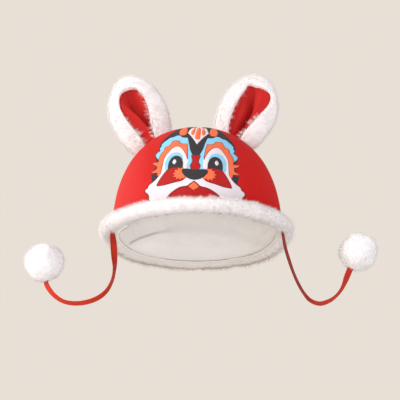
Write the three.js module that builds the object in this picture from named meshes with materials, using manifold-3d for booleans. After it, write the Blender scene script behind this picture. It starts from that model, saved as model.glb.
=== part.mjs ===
// A toddler's festive cloth hat: a red domed crown of two panels, a cream lining,
// a thick white plush roll round the opening, two long plush ears with red fronts,
// and two red ribbon ties, each with a white pompom.
//
// Millimetres, +Z up, the front of the hat towards -Y, the wearer's left towards +X.
// The shapes are worked out with the rim's middle at z = 0. At the end everything is
// moved down, so that the origin is the top of the lining inside, where the head sits.

import * as THREE from "three";
import * as BufferGeometryUtils from "three/addons/utils/BufferGeometryUtils.js";
import Module from "manifold-3d";

const wasm = await Module();
wasm.setup();

// Crown, measured outside at the rim: half width, half depth, and height above the rim
const CROWN_HALF_WIDTH = 76.4;
const CROWN_HALF_DEPTH = 82.5;
const CROWN_HEIGHT = 94.1;
// How full the dome's side view is: 2 is an ellipse, larger is squarer
const CROWN_FULLNESS = 2.3;
// Heights of the dome's rings of corners, as shares of its height
const DOME_RINGS = [0, 0.08, 0.16, 0.24, 0.32, 0.42, 0.54, 0.66, 0.78, 0.87, 0.94, 0.985, 1];
const AROUND = 40;

// Layers and the air between neighbouring pieces
const CLOTH = 2.0;
const LINING = 2.3;
const GAP = 0.3;
// The crown's and the lining's lower edges, just below the rim's middle
const EDGE_Z = -1.0;
// The seam between the front and the back panel, behind the hat's middle
const SEAM_Y = 4.0;
// How far the rim dips at the back, and how high up the dome the dip is felt
const RIM_DIP = 3.8;
const RIM_DIP_REACH = 60.0;

// The lining's slack fold inside the back
const FOLD_DEPTH = 4.0;
const FOLD_CREST_Z = 27.0;

// Plush roll round the opening: its middle's half sizes and its section's
const TRIM_HALF_WIDTH = 79.9;
const TRIM_HALF_DEPTH = 86.0;
const TRIM_SECTION_OUT = 8.5;
const TRIM_SECTION_UP = 6.7;
const TRIM_CORNERS = 14;

// Ears
const EAR_THICKNESS = 19.0;
// How square the ear's cross section is: 1 is an ellipse, smaller is squarer
const EAR_SQUARENESS = 0.7;
const EAR_PANEL_THICKNESS = 1.8;
const EAR_PANEL_INSET = 4.4;
const EAR_CREASE_DEPTH = 3.4;
const EAR_CREASE_WIDTH = 3.0;

// Base: where the ear's axis meets the crown. Tip: where it ends.
// Outline columns: height along the axis, left edge, right edge.
// Crease columns: height along the axis, distance to the right of the axis.
const EAR_LEFT = {
  base: [-40.5, 82.8],
  tip: [-64.0, 152.6],
  outline: [
    [-6.0, -17.0, 18.0],
    [4.0, -22.5, 20.0],
    [17.0, -27.4, 23.0],
    [29.0, -29.6, 24.3],
    [41.0, -30.2, 24.1],
    [52.0, -27.0, 21.5],
    [61.0, -22.3, 17.4],
    [66.5, -18.0, 13.0],
    [70.5, -13.4, 8.2],
    [73.0, -9.0, 3.6],
    [74.2, -5.4, 0.0],
    [74.4, -3.2, -2.4],
  ],
  panel: [
    [-6.0, -6.0, 3.0],
    [3.0, -6.8, 3.4],
    [12.0, -8.5, 4.0],
    [20.0, -11.5, 6.0],
    [30.0, -14.9, 6.8],
    [40.0, -17.0, 7.5],
    [47.0, -16.9, 7.0],
    [53.6, -15.0, 4.8],
    [58.3, -11.2, 1.6],
    [60.2, -7.0, -2.5],
  ],
  crease: [
    [-6.0, 4.5],
    [10.4, 4.0],
    [18.6, 1.6],
    [31.0, -3.2],
    [40.0, -6.2],
    [60.2, -7.2],
  ],
};

const EAR_RIGHT = {
  base: [36.0, 84.8],
  tip: [60.5, 154.2],
  outline: [
    [-6.0, -19.0, 15.0],
    [4.0, -23.5, 19.5],
    [17.0, -26.2, 23.6],
    [27.0, -27.4, 26.0],
    [38.0, -26.5, 27.1],
    [50.0, -24.2, 24.6],
    [59.0, -20.6, 20.5],
    [64.5, -16.6, 16.6],
    [68.5, -12.2, 12.2],
    [71.0, -7.6, 7.8],
    [72.0, -3.4, 3.6],
    [72.2, -0.6, 0.8],
  ],
  panel: [
    [-6.0, -7.0, 1.0],
    [8.0, -10.0, 2.4],
    [14.0, -12.0, 3.6],
    [20.0, -12.7, 6.0],
    [28.0, -13.2, 9.2],
    [36.0, -12.8, 12.4],
    [43.0, -11.8, 15.2],
    [49.0, -10.5, 15.8],
    [54.0, -9.2, 15.0],
    [57.5, -8.2, 11.8],
    [59.3, -5.5, 5.5],
  ],
  crease: [
    [-6.0, 1.2],
    [9.0, 1.7],
    [19.0, 2.1],
    [28.0, 3.4],
    [36.0, 3.2],
    [44.0, 1.0],
    [59.3, -1.0],
  ],
};

// Ribbon ties and pompoms
const RIBBON_WIDTH = 6.0;
const RIBBON_THICKNESS = 1.0;
const RIBBON_STEPS = 36;
const TIE_Y = -22.0;
const POMPOM_RADIUS = 17.0;

// Columns: x, z, and the ribbon's turn about its own length in degrees (0 lies flat to
// the front, 90 stands edge on).
const TIE_LEFT = [
  [-75.0, -6.9, 30],
  [-73.7, -18.8, 12],
  [-73.0, -28.8, 8],
  [-72.7, -39.8, 56],
  [-74.3, -49.8, 66],
  [-78.9, -59.4, 50],
  [-85.2, -65.3, 25],
  [-94.5, -69.5, 35],
  [-106.0, -71.2, 57],
  [-116.4, -69.6, 62],
  [-123.8, -65.1, 42],
  [-129.2, -59.2, 18],
  [-132.4, -53.5, 12],
];
const TIE_RIGHT = [
  [76.3, -7.0, 78],
  [78.2, -19.8, 64],
  [81.2, -31.3, 66],
  [84.8, -42.8, 62],
  [89.1, -53.4, 57],
  [94.0, -62.2, 54],
  [99.6, -68.6, 52],
  [107.2, -71.4, 58],
  [115.0, -69.4, 62],
  [121.4, -65.1, 66],
  [126.0, -60.0, 68],
  [129.3, -54.2, 58],
  [132.0, -47.4, 40],
  [134.8, -40.7, 25],
];
const POMPOM_LEFT = [-134.9, TIE_Y, -35.5];
const POMPOM_RIGHT = [142.5, TIE_Y, -24.5];

// Cloth colours
const RED = 0xd3242a;
const RIBBON_RED = 0xc42c1e;
const WHITE = 0xf5f2f3;
const CREAM = 0xe2ddd3;

// The height of the lining's highest point inside, above the rim's middle
const HEAD_SEAT_Z = CROWN_HEIGHT - CLOTH - GAP - LINING;

// Solids

/** Makes a closed solid of a geometry: shared corners merged, faces pointing out. */
function solidOf(geometry) {
  const bare = geometry.clone();
  bare.deleteAttribute("normal");
  bare.deleteAttribute("uv");
  const merged = BufferGeometryUtils.mergeVertices(bare, 1e-4);
  const corners = merged.attributes.position.array;
  const triangles = wholeTriangles(merged.index.array);
  if (signedVolume(corners, triangles) < 0) {
    triangles.reverse();
  }
  const mesh = new wasm.Mesh({
    numProp: 3,
    vertProperties: new Float32Array(corners),
    triVerts: new Uint32Array(triangles),
  });
  return new wasm.Manifold(mesh);
}

/** Leaves out the triangles that have lost a side at a pole. */
function wholeTriangles(index) {
  const kept = [];
  for (let i = 0; i < index.length; i += 3) {
    const [a, b, c] = [index[i], index[i + 1], index[i + 2]];
    if (a !== b && b !== c && c !== a) {
      kept.push(a, b, c);
    }
  }
  return kept;
}

/** The volume inside the triangles, below zero where they point inwards. */
function signedVolume(corners, triangles) {
  const [a, b, c] = [new THREE.Vector3(), new THREE.Vector3(), new THREE.Vector3()];
  let volume = 0;
  for (let i = 0; i < triangles.length; i += 3) {
    a.fromArray(corners, 3 * triangles[i]);
    b.fromArray(corners, 3 * triangles[i + 1]);
    c.fromArray(corners, 3 * triangles[i + 2]);
    volume += a.dot(b.cross(c)) / 6;
  }
  return volume;
}

/** Turns a solid back into a geometry. */
function geometryOf(solid) {
  const mesh = solid.getMesh();
  const geometry = new THREE.BufferGeometry();
  const corners = new Float32Array(mesh.vertProperties);
  geometry.setAttribute("position", new THREE.BufferAttribute(corners, 3));
  geometry.setIndex(new THREE.BufferAttribute(new Uint32Array(mesh.triVerts), 1));
  geometry.computeVertexNormals();
  return geometry;
}

/** Moves every corner of a geometry to the place that a function gives for it. */
function reshape(geometry, place) {
  const position = geometry.attributes.position;
  const corner = new THREE.Vector3();
  for (let i = 0; i < position.count; i += 1) {
    corner.fromBufferAttribute(position, i);
    place(corner);
    position.setXYZ(i, corner.x, corner.y, corner.z);
  }
  return geometry;
}

/** Reads a table at a height: each row starts with a height, and the rest blends. */
function readTable(rows, height) {
  let i = 1;
  while (i < rows.length - 1 && rows[i][0] < height) {
    i += 1;
  }
  const [low, high] = [rows[i - 1], rows[i]];
  const share = THREE.MathUtils.clamp((height - low[0]) / (high[0] - low[0]), 0, 1);
  return low.slice(1).map((value, k) => THREE.MathUtils.lerp(value, high[k + 1], share));
}

// Crown and lining

/** How far the dip at the back lowers a place: all of it at the rim, none high up. */
function dipAt(y, z) {
  const towardsBack = Math.max(0, y / CROWN_HALF_DEPTH);
  const fade = THREE.MathUtils.clamp(1 - z / RIM_DIP_REACH, 0, 1);
  return RIM_DIP * towardsBack * towardsBack * fade;
}

/** How far the lining hangs in from the back wall at a place. */
function foldAt(y, z) {
  const towardsBack = Math.max(0, y / CROWN_HALF_DEPTH);
  const crest = FOLD_CREST_Z * towardsBack;
  if (crest < 1 || z < 0) {
    return 0;
  }
  const share = z / crest;
  const below = THREE.MathUtils.smoothstep(share, 0, 0.9);
  const above = 1 - THREE.MathUtils.smoothstep(share, 1.0, 1.35);
  return FOLD_DEPTH * Math.sqrt(towardsBack) * below * above;
}

/** A solid dome, set in from the crown's outside, down to a flat bottom. */
function domeSolid(inset, bottom, folded = false) {
  const width = CROWN_HALF_WIDTH - inset;
  const depth = CROWN_HALF_DEPTH - inset;
  const height = CROWN_HEIGHT - inset;
  const profile = [new THREE.Vector2(0, bottom), new THREE.Vector2(1, bottom)];
  for (const ring of DOME_RINGS) {
    const radius = (1 - ring ** CROWN_FULLNESS) ** (1 / CROWN_FULLNESS);
    profile.push(new THREE.Vector2(radius, ring * height));
  }
  const geometry = new THREE.LatheGeometry(profile, AROUND);
  geometry.rotateX(Math.PI / 2);
  geometry.scale(width, depth, 1);
  reshape(geometry, (corner) => {
    if (folded && corner.y > 0) {
      corner.y -= foldAt(corner.y, corner.z);
    }
    corner.z -= dipAt(corner.y, corner.z);
  });
  return solidOf(geometry);
}

/** A box that holds all that lies in front of the seam, or all that lies behind it. */
function seamSide(direction) {
  const size = 400;
  const box = new THREE.BoxGeometry(size, size, size);
  box.translate(0, SEAM_Y + direction * (size / 2 + GAP / 2), 0);
  return solidOf(box);
}

function crownShell() {
  return domeSolid(0, EDGE_Z).subtract(domeSolid(CLOTH, EDGE_Z - 4));
}

function liningShell() {
  const outside = domeSolid(CLOTH + GAP, EDGE_Z, true);
  const inside = domeSolid(CLOTH + GAP + LINING, EDGE_Z - 4, true);
  return outside.subtract(inside);
}

// Plush roll round the opening

/** The roll: an oval section carried round the rim, cut back for the cloth's edges. */
function trimSolid() {
  const profile = [];
  const turnRadius = 80;
  for (let i = 0; i <= TRIM_CORNERS; i += 1) {
    const turn = (2 * Math.PI * i) / TRIM_CORNERS;
    const out = turnRadius + TRIM_SECTION_OUT * Math.cos(turn);
    profile.push(new THREE.Vector2(out, TRIM_SECTION_UP * Math.sin(turn)));
  }
  const geometry = new THREE.LatheGeometry(profile, AROUND);
  geometry.rotateX(Math.PI / 2);
  reshape(geometry, (corner) => {
    const turn = Math.atan2(corner.y, corner.x);
    const out = Math.hypot(corner.x, corner.y) - turnRadius;
    const facing = new THREE.Vector2(
      Math.cos(turn) / TRIM_HALF_WIDTH,
      Math.sin(turn) / TRIM_HALF_DEPTH,
    ).normalize();
    corner.x = TRIM_HALF_WIDTH * Math.cos(turn) + out * facing.x;
    corner.y = TRIM_HALF_DEPTH * Math.sin(turn) + out * facing.y;
    corner.z -= dipAt(corner.y, 0);
  });
  return solidOf(geometry).subtract(domeSolid(-GAP, EDGE_Z - GAP));
}

// Ears

/** Carries a place in an ear's own frame (across, back, along) to the hat's frame. */
function earPlacer(ear) {
  const along = new THREE.Vector2(ear.tip[0] - ear.base[0], ear.tip[1] - ear.base[1]);
  along.normalize();
  return (corner) => {
    const [across, back, up] = [corner.x, corner.y, corner.z];
    corner.x = ear.base[0] + along.x * up + along.y * across;
    corner.y = SEAM_Y + back;
    corner.z = ear.base[1] + along.y * up - along.x * across;
  };
}

/** The ear's plush body before its front is hollowed: a padded leaf with a round edge. */
function earBody(ear) {
  const [root, top] = [ear.outline[0][0], ear.outline[ear.outline.length - 1][0]];
  const place = earPlacer(ear);
  const geometry = new THREE.SphereGeometry(1, 20, 16);
  reshape(geometry, (corner) => {
    const ring = Math.max(Math.hypot(corner.x, corner.z), 1e-6);
    const height = THREE.MathUtils.lerp(root, top, (corner.y + 1) / 2);
    const [left, right] = readTable(ear.outline, height);
    const sideways = squared(corner.x / ring) * Math.min(1, ring * 1e3);
    const backwards = squared(corner.z / ring) * Math.sqrt(ring);
    const across = (left + right) / 2 + ((right - left) / 2) * sideways;
    corner.set(across, (EAR_THICKNESS / 2) * backwards, height);
    place(corner);
  });
  return solidOf(geometry);
}

/** Pushes a share between -1 and 1 outwards, to square the round section a little. */
function squared(share) {
  return Math.sign(share) * Math.abs(share) ** EAR_SQUARENESS;
}

/** How far back the red panel's front lies at a place of the ear. */
function panelFront(ear, across, height) {
  const [crease] = readTable(ear.crease, height);
  const fromCrease = (across - crease) / EAR_CREASE_WIDTH;
  return -EAR_PANEL_INSET + EAR_CREASE_DEPTH * Math.exp(-fromCrease * fromCrease);
}

/** A sheet that follows the panel, from one depth to another, wider all round by a margin. */
function panelSheet(ear, front, back, margin) {
  const rows = ear.panel;
  const [root, top] = [rows[0][0], rows[rows.length - 1][0]];
  const place = earPlacer(ear);
  const geometry = new THREE.BoxGeometry(1, 1, 1, 8, 1, 14);
  reshape(geometry, (corner) => {
    const height = THREE.MathUtils.lerp(root - margin, top + margin, corner.z + 0.5);
    const [left, right] = readTable(rows, height);
    const across = THREE.MathUtils.lerp(left - margin, right + margin, corner.x + 0.5);
    const depth = corner.y < 0 ? front(across, height) : back(across, height);
    corner.set(across, depth, height);
    place(corner);
  });
  return solidOf(geometry);
}

/** The ear's plush and its red panel, both trimmed to the crown. */
function earSolids(ear) {
  const crown = domeSolid(-GAP, EDGE_Z);
  const face = (across, height) => panelFront(ear, across, height);
  const rear = (across, height) => face(across, height) + EAR_PANEL_THICKNESS;
  const bedRear = (across, height) => rear(across, height) + GAP;
  const wellInFront = () => -EAR_THICKNESS;
  const bed = panelSheet(ear, wellInFront, bedRear, GAP);
  return {
    plush: earBody(ear).subtract(bed).subtract(crown),
    panel: panelSheet(ear, face, rear, 0).subtract(crown),
  };
}

// Ties

/** A flat ribbon along a curve, turned about its length as the table says. */
function ribbonSolid(rows) {
  const points = rows.map(([x, z]) => new THREE.Vector3(x, TIE_Y, z));
  const curve = new THREE.CatmullRomCurve3(points, false, "centripetal");
  const back = new THREE.Vector3(0, 1, 0);
  const geometry = new THREE.BoxGeometry(1, 1, 1, 1, 1, RIBBON_STEPS);
  reshape(geometry, (corner) => {
    const share = corner.z + 0.5;
    const along = curve.getTangentAt(share);
    const flat = new THREE.Vector3().crossVectors(along, back).normalize();
    const turn = THREE.MathUtils.degToRad(turnAt(rows, curve.getUtoTmapping(share)));
    const across = flat.multiplyScalar(Math.cos(turn)).addScaledVector(back, Math.sin(turn));
    const through = new THREE.Vector3().crossVectors(along, across);
    const [sideways, outwards] = [corner.x * RIBBON_WIDTH, corner.y * RIBBON_THICKNESS];
    corner.copy(curve.getPointAt(share));
    corner.addScaledVector(across, sideways);
    corner.addScaledVector(through, outwards);
  });
  return solidOf(geometry);
}

/** The ribbon's turn at a share of the table's rows. */
function turnAt(rows, share) {
  const place = share * (rows.length - 1);
  const row = Math.min(Math.floor(place), rows.length - 2);
  return THREE.MathUtils.lerp(rows[row][2], rows[row + 1][2], place - row);
}

function pompomSolid(centre) {
  const ball = new THREE.SphereGeometry(POMPOM_RADIUS, 20, 14);
  ball.translate(...centre);
  return solidOf(ball);
}

// The hat

const hat = new THREE.Group();
hat.position.z = -HEAD_SEAT_Z;

function addPiece(name, solid, color, roughness) {
  const material = new THREE.MeshStandardMaterial({ color, roughness, metalness: 0 });
  const piece = new THREE.Mesh(geometryOf(solid), material);
  piece.name = name;
  hat.add(piece);
}

const shell = crownShell();
addPiece("crown_front_panel", shell.intersect(seamSide(-1)), RED, 0.8);
addPiece("crown_back_panel", shell.intersect(seamSide(1)), RED, 0.8);
addPiece("lining", liningShell(), CREAM, 0.95);
addPiece("rim_trim", trimSolid(), WHITE, 0.95);

const earLeft = earSolids(EAR_LEFT);
addPiece("ear_left_plush", earLeft.plush, WHITE, 0.95);
addPiece("ear_left_panel", earLeft.panel, RED, 0.8);

const earRight = earSolids(EAR_RIGHT);
addPiece("ear_right_plush", earRight.plush, WHITE, 0.95);
addPiece("ear_right_panel", earRight.panel, RED, 0.8);

addPiece("tie_left", ribbonSolid(TIE_LEFT), RIBBON_RED, 0.6);
addPiece("tie_right", ribbonSolid(TIE_RIGHT), RIBBON_RED, 0.6);
addPiece("pompom_left", pompomSolid(POMPOM_LEFT), WHITE, 0.95);
addPiece("pompom_right", pompomSolid(POMPOM_RIGHT), WHITE, 0.95);

export default hat;
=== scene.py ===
import math

import bmesh
import bpy
import numpy as np
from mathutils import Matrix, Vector, kdtree, noise


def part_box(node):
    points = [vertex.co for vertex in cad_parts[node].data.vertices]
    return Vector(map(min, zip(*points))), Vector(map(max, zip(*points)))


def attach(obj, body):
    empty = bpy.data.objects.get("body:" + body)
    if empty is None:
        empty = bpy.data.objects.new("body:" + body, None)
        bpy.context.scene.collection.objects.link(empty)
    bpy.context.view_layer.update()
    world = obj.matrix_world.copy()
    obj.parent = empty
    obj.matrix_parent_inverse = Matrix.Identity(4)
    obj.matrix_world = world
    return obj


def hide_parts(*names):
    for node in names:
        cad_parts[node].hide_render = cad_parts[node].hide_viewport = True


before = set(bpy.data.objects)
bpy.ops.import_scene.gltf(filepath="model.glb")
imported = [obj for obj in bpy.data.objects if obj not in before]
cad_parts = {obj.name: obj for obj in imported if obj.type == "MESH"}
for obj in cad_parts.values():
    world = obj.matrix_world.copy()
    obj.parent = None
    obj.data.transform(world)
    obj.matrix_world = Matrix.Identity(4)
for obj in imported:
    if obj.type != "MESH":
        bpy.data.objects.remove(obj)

# A toddler's festive hat: a red cloth crown of two panels with a printed lion face, a
# cream lining, a white plush roll round the opening, two plush ears with red fronts,
# and two red ribbon ties that end in white pompoms.
#
# Metres, +Z up, the hat's front towards -Y. The shapes are worked out with the rim's
# middle at z = 0, and moved down at the end so that the origin is the head's seat.

bl_info = {
    "name": "Festive Ear Hat",
    "version": (1, 0, 0),
    "blender": (4, 5, 0),
    "location": "3D View > Sidebar > Hat",
    "description": "A toddler's cloth hat with plush ears, a printed lion face and pompom ties",
    "category": "Add Mesh",
}

MM = 0.001
BODY = "root"

CROWN_LOW, CROWN_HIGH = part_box("crown_front_panel")
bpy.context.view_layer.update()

# The air between neighbouring layers, the seam over the top, and the rim's dip behind
GAP = 0.3 * MM
SEAM_Y = 4.0 * MM
RIM_DIP = 4.4 * MM
RIM_DIP_SHARE = 0.7
RIM_DIP_REACH = 60.0 * MM
EDGE_Z = -1.0 * MM

# The slack fold of the lining inside the back: its crest starts where the wall turns
# backwards, and climbs to its height behind
FOLD_CREST_Z = 28.0 * MM
FOLD_START = 0.48

# The fleece hem inside the roll is widest on the left, towards the front
HEM_WIDEST_TURN = math.radians(-156)
HEM_EXTRA = 5.2 * MM

# How far back the hollow in front of each ear reaches
EAR_BED = 5.0 * MM

# The roll's middle line round the opening
TRIM_HALF_WIDTH = 79.9 * MM
TRIM_HALF_DEPTH = 86.0 * MM

# Ears. Base: where the axis meets the crown. Tip: where it ends. Millimetres.
# Outline and panel rows: height along the axis, left edge, right edge.
# Crease rows: height along the axis, distance to the right of the axis.
EAR_LEFT = {
    "base": (-40.5, 82.8),
    "tip": (-64.0, 152.6),
    "outline": (
        (-6.0, -17.0, 18.0), (4.0, -22.5, 20.0), (17.0, -27.4, 23.0), (29.0, -29.6, 24.3),
        (41.0, -30.2, 24.1), (52.0, -27.0, 21.5), (61.0, -22.3, 17.4), (66.5, -18.0, 13.0),
        (70.5, -13.4, 8.2), (73.0, -9.0, 3.6), (74.2, -5.4, 0.0), (74.4, -3.2, -2.4),
    ),
    "panel": (
        (-6.0, -6.0, 3.0), (3.0, -6.8, 3.4), (12.0, -8.5, 4.0), (20.0, -11.5, 6.0),
        (30.0, -14.9, 6.8), (40.0, -17.0, 7.5), (47.0, -16.9, 7.0), (53.6, -15.0, 4.8),
        (58.3, -11.2, 1.6), (60.2, -7.0, -2.5),
    ),
    "crease": (
        (-6.0, 4.5), (10.4, 4.0), (18.6, 1.6), (31.0, -3.2), (40.0, -6.2), (60.2, -7.2),
    ),
    "lip_side": -1,
    "valley": (5.0, 11.0),
    "fringe": 1.0,
}
EAR_RIGHT = {
    "base": (36.0, 84.8),
    "tip": (60.5, 154.2),
    "outline": (
        (-6.0, -19.0, 7.0), (0.0, -21.8, 14.4), (5.0, -23.8, 19.0), (17.0, -26.2, 23.6),
        (27.0, -27.4, 26.0),
        (38.0, -26.5, 27.1), (50.0, -24.2, 24.6), (59.0, -20.6, 20.5), (64.5, -16.6, 16.6),
        (68.5, -12.2, 12.2), (71.0, -7.6, 7.8), (72.0, -3.4, 3.6), (72.2, -0.6, 0.8),
    ),
    "panel": (
        (-6.0, -7.0, 1.0), (8.0, -10.0, 2.4), (14.0, -12.0, 3.6), (20.0, -12.7, 6.0),
        (28.0, -13.2, 9.2), (36.0, -12.8, 12.4), (43.0, -11.8, 15.2), (49.0, -10.5, 15.8),
        (54.0, -9.2, 15.0), (57.5, -8.2, 11.8), (59.3, -5.5, 5.5),
    ),
    "crease": (
        (-6.0, 1.2), (9.0, 1.7), (19.0, 2.1), (28.0, 3.4), (36.0, 3.2), (44.0, 1.0),
        (59.3, -1.0),
    ),
    "lip_side": 1,
    "valley": (1.0, 8.0),
    "fringe": 0.6,
}

# Ribbon routes in the finished frame: x, y, z, and the ribbon's turn in degrees about
# its own length (0 lies flat to the front, 90 stands edge on).
TIE_LEFT = (
    (-0.0750, -0.022, -0.0964, 54), (-0.0737, -0.022, -0.1083, 14),
    (-0.0730, -0.022, -0.1183, 30), (-0.0727, -0.022, -0.1293, 66),
    (-0.0743, -0.022, -0.1393, 74), (-0.0789, -0.022, -0.1489, 69),
    (-0.0852, -0.022, -0.1548, 64), (-0.0945, -0.022, -0.1590, 64),
    (-0.1060, -0.022, -0.1607, 66), (-0.1164, -0.022, -0.1591, 68),
    (-0.1238, -0.022, -0.1546, 62), (-0.1292, -0.022, -0.1487, 54),
    (-0.1324, -0.022, -0.1430, 50),
)
TIE_RIGHT = (
    (0.0763, -0.022, -0.0965, 66), (0.0782, -0.022, -0.1093, 61),
    (0.0812, -0.022, -0.1208, 59), (0.0848, -0.022, -0.1323, 61),
    (0.0891, -0.022, -0.1429, 58), (0.0940, -0.022, -0.1517, 56),
    (0.0996, -0.022, -0.1581, 45), (0.1072, -0.022, -0.1609, 41),
    (0.1150, -0.022, -0.1589, 47), (0.1214, -0.022, -0.1546, 60),
    (0.1260, -0.022, -0.1495, 62), (0.1293, -0.022, -0.1437, 56),
    (0.1320, -0.022, -0.1369, 36), (0.1348, -0.022, -0.1302, 30),
)
POMPOM_LEFT = (-0.1349, -0.022, -0.1236)
POMPOM_RIGHT = (0.1425, -0.022, -0.1140)

# The printed face, in millimetres on the flat cloth: sideways and up from the middle
# of the nose. A third number marks a sharp corner. Each paired part is its right half.
FACE = {
    "mask": (
        (0, 19.4), (3.4, 19.4, 1), (2.6, 14.0, 1), (5.4, 12.0, 1), (12.0, 38.0, 1),
        (30.0, 26.0), (32.4, 20.0, 1), (32.6, 17.4, 1), (34.0, 19.0), (35.6, 25.0, 1),
        (34.9, 24.2, 1), (36.0, 27.0), (36.7, 30.8), (35.0, 33.0), (33.3, 34.6),
        (33.2, 38.4), (33.2, 42.2), (32.4, 46.4), (29.8, 52.0), (25.6, 58.6),
        (20.6, 67.2), (15.0, 74.5), (8.0, 81.5), (0, 85.5),
    ),
    "side_spot": ((33.4, 14.4, 1), (36.6, 12.2, 1), (33.6, 10.2, 1), (31.0, 12.0)),
    "side_tuft": (
        (31.4, 5.6), (34.4, 6.2), (38.2, 7.4, 1), (37.6, 2.0), (36.8, -2.6, 1),
        (33.8, 0.0), (31.0, 2.4),
    ),
    "mouth": ((0, -9.0), (12.0, -11.6), (19.0, -15.4), (25.0, -21.0), (28.0, -26.0, 1), (0, -26.0, 1)),
    "brow": (
        (2.2, 4.7, 1), (2.6, 12.0), (3.2, 19.2), (5.6, 27.0), (7.2, 36.0), (8.8, 44.3, 1),
        (11.4, 45.0), (14.2, 46.6, 1), (15.6, 49.8), (18.2, 51.0), (21.4, 49.6, 1),
        (24.6, 49.8), (27.4, 47.4, 1), (29.8, 45.6), (31.6, 42.6), (31.2, 40.2, 1),
        (32.6, 38.0), (32.0, 33.4, 1), (34.4, 32.4), (35.8, 30.2), (35.0, 26.6),
        (33.5, 23.2, 1), (31.6, 22.4, 1), (27.0, 31.0), (19.0, 37.0), (12.0, 31.0),
        (8.2, 22.0), (6.8, 14.0), (7.7, 4.9, 1),
    ),
    "eye_field": (
        (7.2, 4.4, 1), (6.6, 15.6), (9.8, 24.0), (14.0, 31.6), (18.2, 34.4), (22.6, 31.4),
        (26.4, 26.8), (29.2, 20.0), (29.8, 11.0), (31.6, 2.4, 1), (22.0, 1.0), (12.0, 1.0),
    ),
    "whiskers": (
        (0, -5.4), (6.0, -2.4), (14.0, -3.0), (22.0, 0.0), (30.2, 4.2, 1), (33.4, -0.5),
        (36.8, -3.0, 1), (39.6, -4.4), (40.9, -7.2, 1), (43.2, -8.2), (44.0, -11.0),
        (42.6, -14.2), (41.6, -17.5), (41.0, -21.5), (38.0, -26.0, 1), (27.0, -26.0, 1),
        (22.4, -18.9), (17.0, -15.0), (11.6, -12.7), (5.8, -11.6), (2.8, -9.2), (0, -7.0),
    ),
    "brow_band": (
        (7.0, 15.0, 1), (7.5, 23.5), (8.6, 34.6, 1), (12.4, 35.2), (14.8, 37.0, 1),
        (16.0, 40.6, 1), (18.6, 42.0), (21.6, 42.8, 1), (22.6, 39.6), (24.4, 36.8, 1),
        (28.0, 36.4, 1), (28.6, 31.8, 1), (31.0, 28.4), (33.0, 22.8, 1), (32.4, 18.8, 1),
        (38.6, 21.8, 1), (36.2, 17.2), (33.4, 14.4, 1), (33.7, 11.2, 1), (38.9, 9.3, 1),
        (35.6, 7.6), (32.9, 6.6, 1), (32.4, 3.2), (31.4, 1.6, 1), (29.8, 4.0),
        (28.9, 10.5), (28.4, 17.6), (27.2, 22.8), (24.6, 27.2), (21.6, 31.2),
        (18.1, 33.0), (14.9, 31.6), (11.4, 26.8), (8.6, 20.3),
    ),
    "lid": (
        (10.9, 15.6, 1), (12.2, 20.2), (15.4, 24.0), (19.3, 25.2), (23.1, 23.2),
        (25.9, 18.4), (26.5, 13.2), (26.2, 7.3, 1), (23.0, 5.6, 1), (18.0, 14.0),
    ),
    "cheek": (
        (10.4, 6.6, 1), (16.0, 7.8), (20.6, 8.2, 1), (23.8, 6.6), (26.8, 2.6),
        (30.8, -4.0), (32.4, -8.2, 1), (26.6, -8.9), (18.0, -7.7), (11.0, -6.3),
        (7.6, -3.7, 1), (10.0, 1.4),
    ),
    "eye": (
        (10.8, 6.6, 1), (10.6, 10.6), (11.3, 14.2), (12.6, 17.4), (15.2, 19.9),
        (18.2, 20.6), (21.0, 19.1), (22.9, 15.4), (23.6, 10.8), (23.4, 6.2, 1),
        (20.4, 7.8), (15.6, 7.4),
    ),
    "eye_glint": ((18.2, 16.6), (19.9, 13.8), (18.2, 11.0), (16.5, 13.8)),
    "nose": (
        (0, 4.4), (6.0, 4.9), (9.8, 5.3), (11.3, 3.6), (10.5, 0.8), (7.2, -3.0),
        (3.6, -5.1), (0, -5.8),
    ),
    "nose_bridge": (
        (0, 19.7), (4.0, 19.5, 1), (3.2, 16.4), (2.5, 12.4), (4.4, 8.4), (2.7, 3.6, 1), (0, 3.4),
    ),
    "tongue": ((0, -7.6, 1), (4.6, -11.9, 1), (0, -15.4, 1)),
    "forehead_kite": ((0, 33.6, 1), (9.1, 53.4, 1), (6.4, 67.0), (0, 81.0, 1)),
    "petal_middle": ((0, 40.6), (1.6, 41.2), (2.2, 44.0), (2.2, 50.0), (1.9, 58.0), (1.2, 66.0), (0, 70.0, 1)),
    "petal_inner": (
        (4.4, 48.4), (6.0, 50.4), (6.2, 55.4), (5.2, 61.0), (3.0, 66.6, 1), (3.0, 58.0), (3.2, 51.4),
    ),
    "petal_outer": ((2.2, 70.0, 1), (4.6, 64.6), (4.4, 70.0), (1.8, 77.0, 1)),
    "brow_drop": (
        (12.8, 49.3), (15.6, 50.9), (17.0, 55.6), (16.8, 62.6), (14.8, 71.4), (12.3, 77.0, 1),
        (10.6, 70.6), (9.8, 62.0), (9.7, 54.4), (10.8, 50.4),
    ),
}
FACE_LINES = {
    "whisker_top": (
        (31.2, 2.4), (33.4, -0.5), (36.8, -3.0, 1), (39.6, -4.4), (40.9, -7.2, 1),
        (43.2, -8.2), (44.0, -11.0), (42.6, -14.2), (41.6, -17.5), (41.0, -21.5), (38.0, -26.0),
    ),
    "whisker_under": ((27.0, -26.0), (22.4, -18.9), (17.0, -15.0), (11.6, -12.7), (5.8, -11.6), (2.8, -9.2), (0, -7.0)),
    "bridge_side": ((4.0, 19.5), (3.2, 16.4), (2.5, 12.4), (4.4, 8.4), (2.7, 3.6)),
}
CHEEK_SUN = (11.8, 0.8, 4.3, 7.2, 10)
NOSE_AT = (-1.9, 29.0)
FACE_TILT = -3.4


# Sizes and colours that a user would change

def length_prop(name, description, default, top=0.3):
    return bpy.props.FloatProperty(
        name=name, description=description, default=default, min=0.0, max=top,
        subtype="DISTANCE", unit="LENGTH", precision=4,
    )


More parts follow.
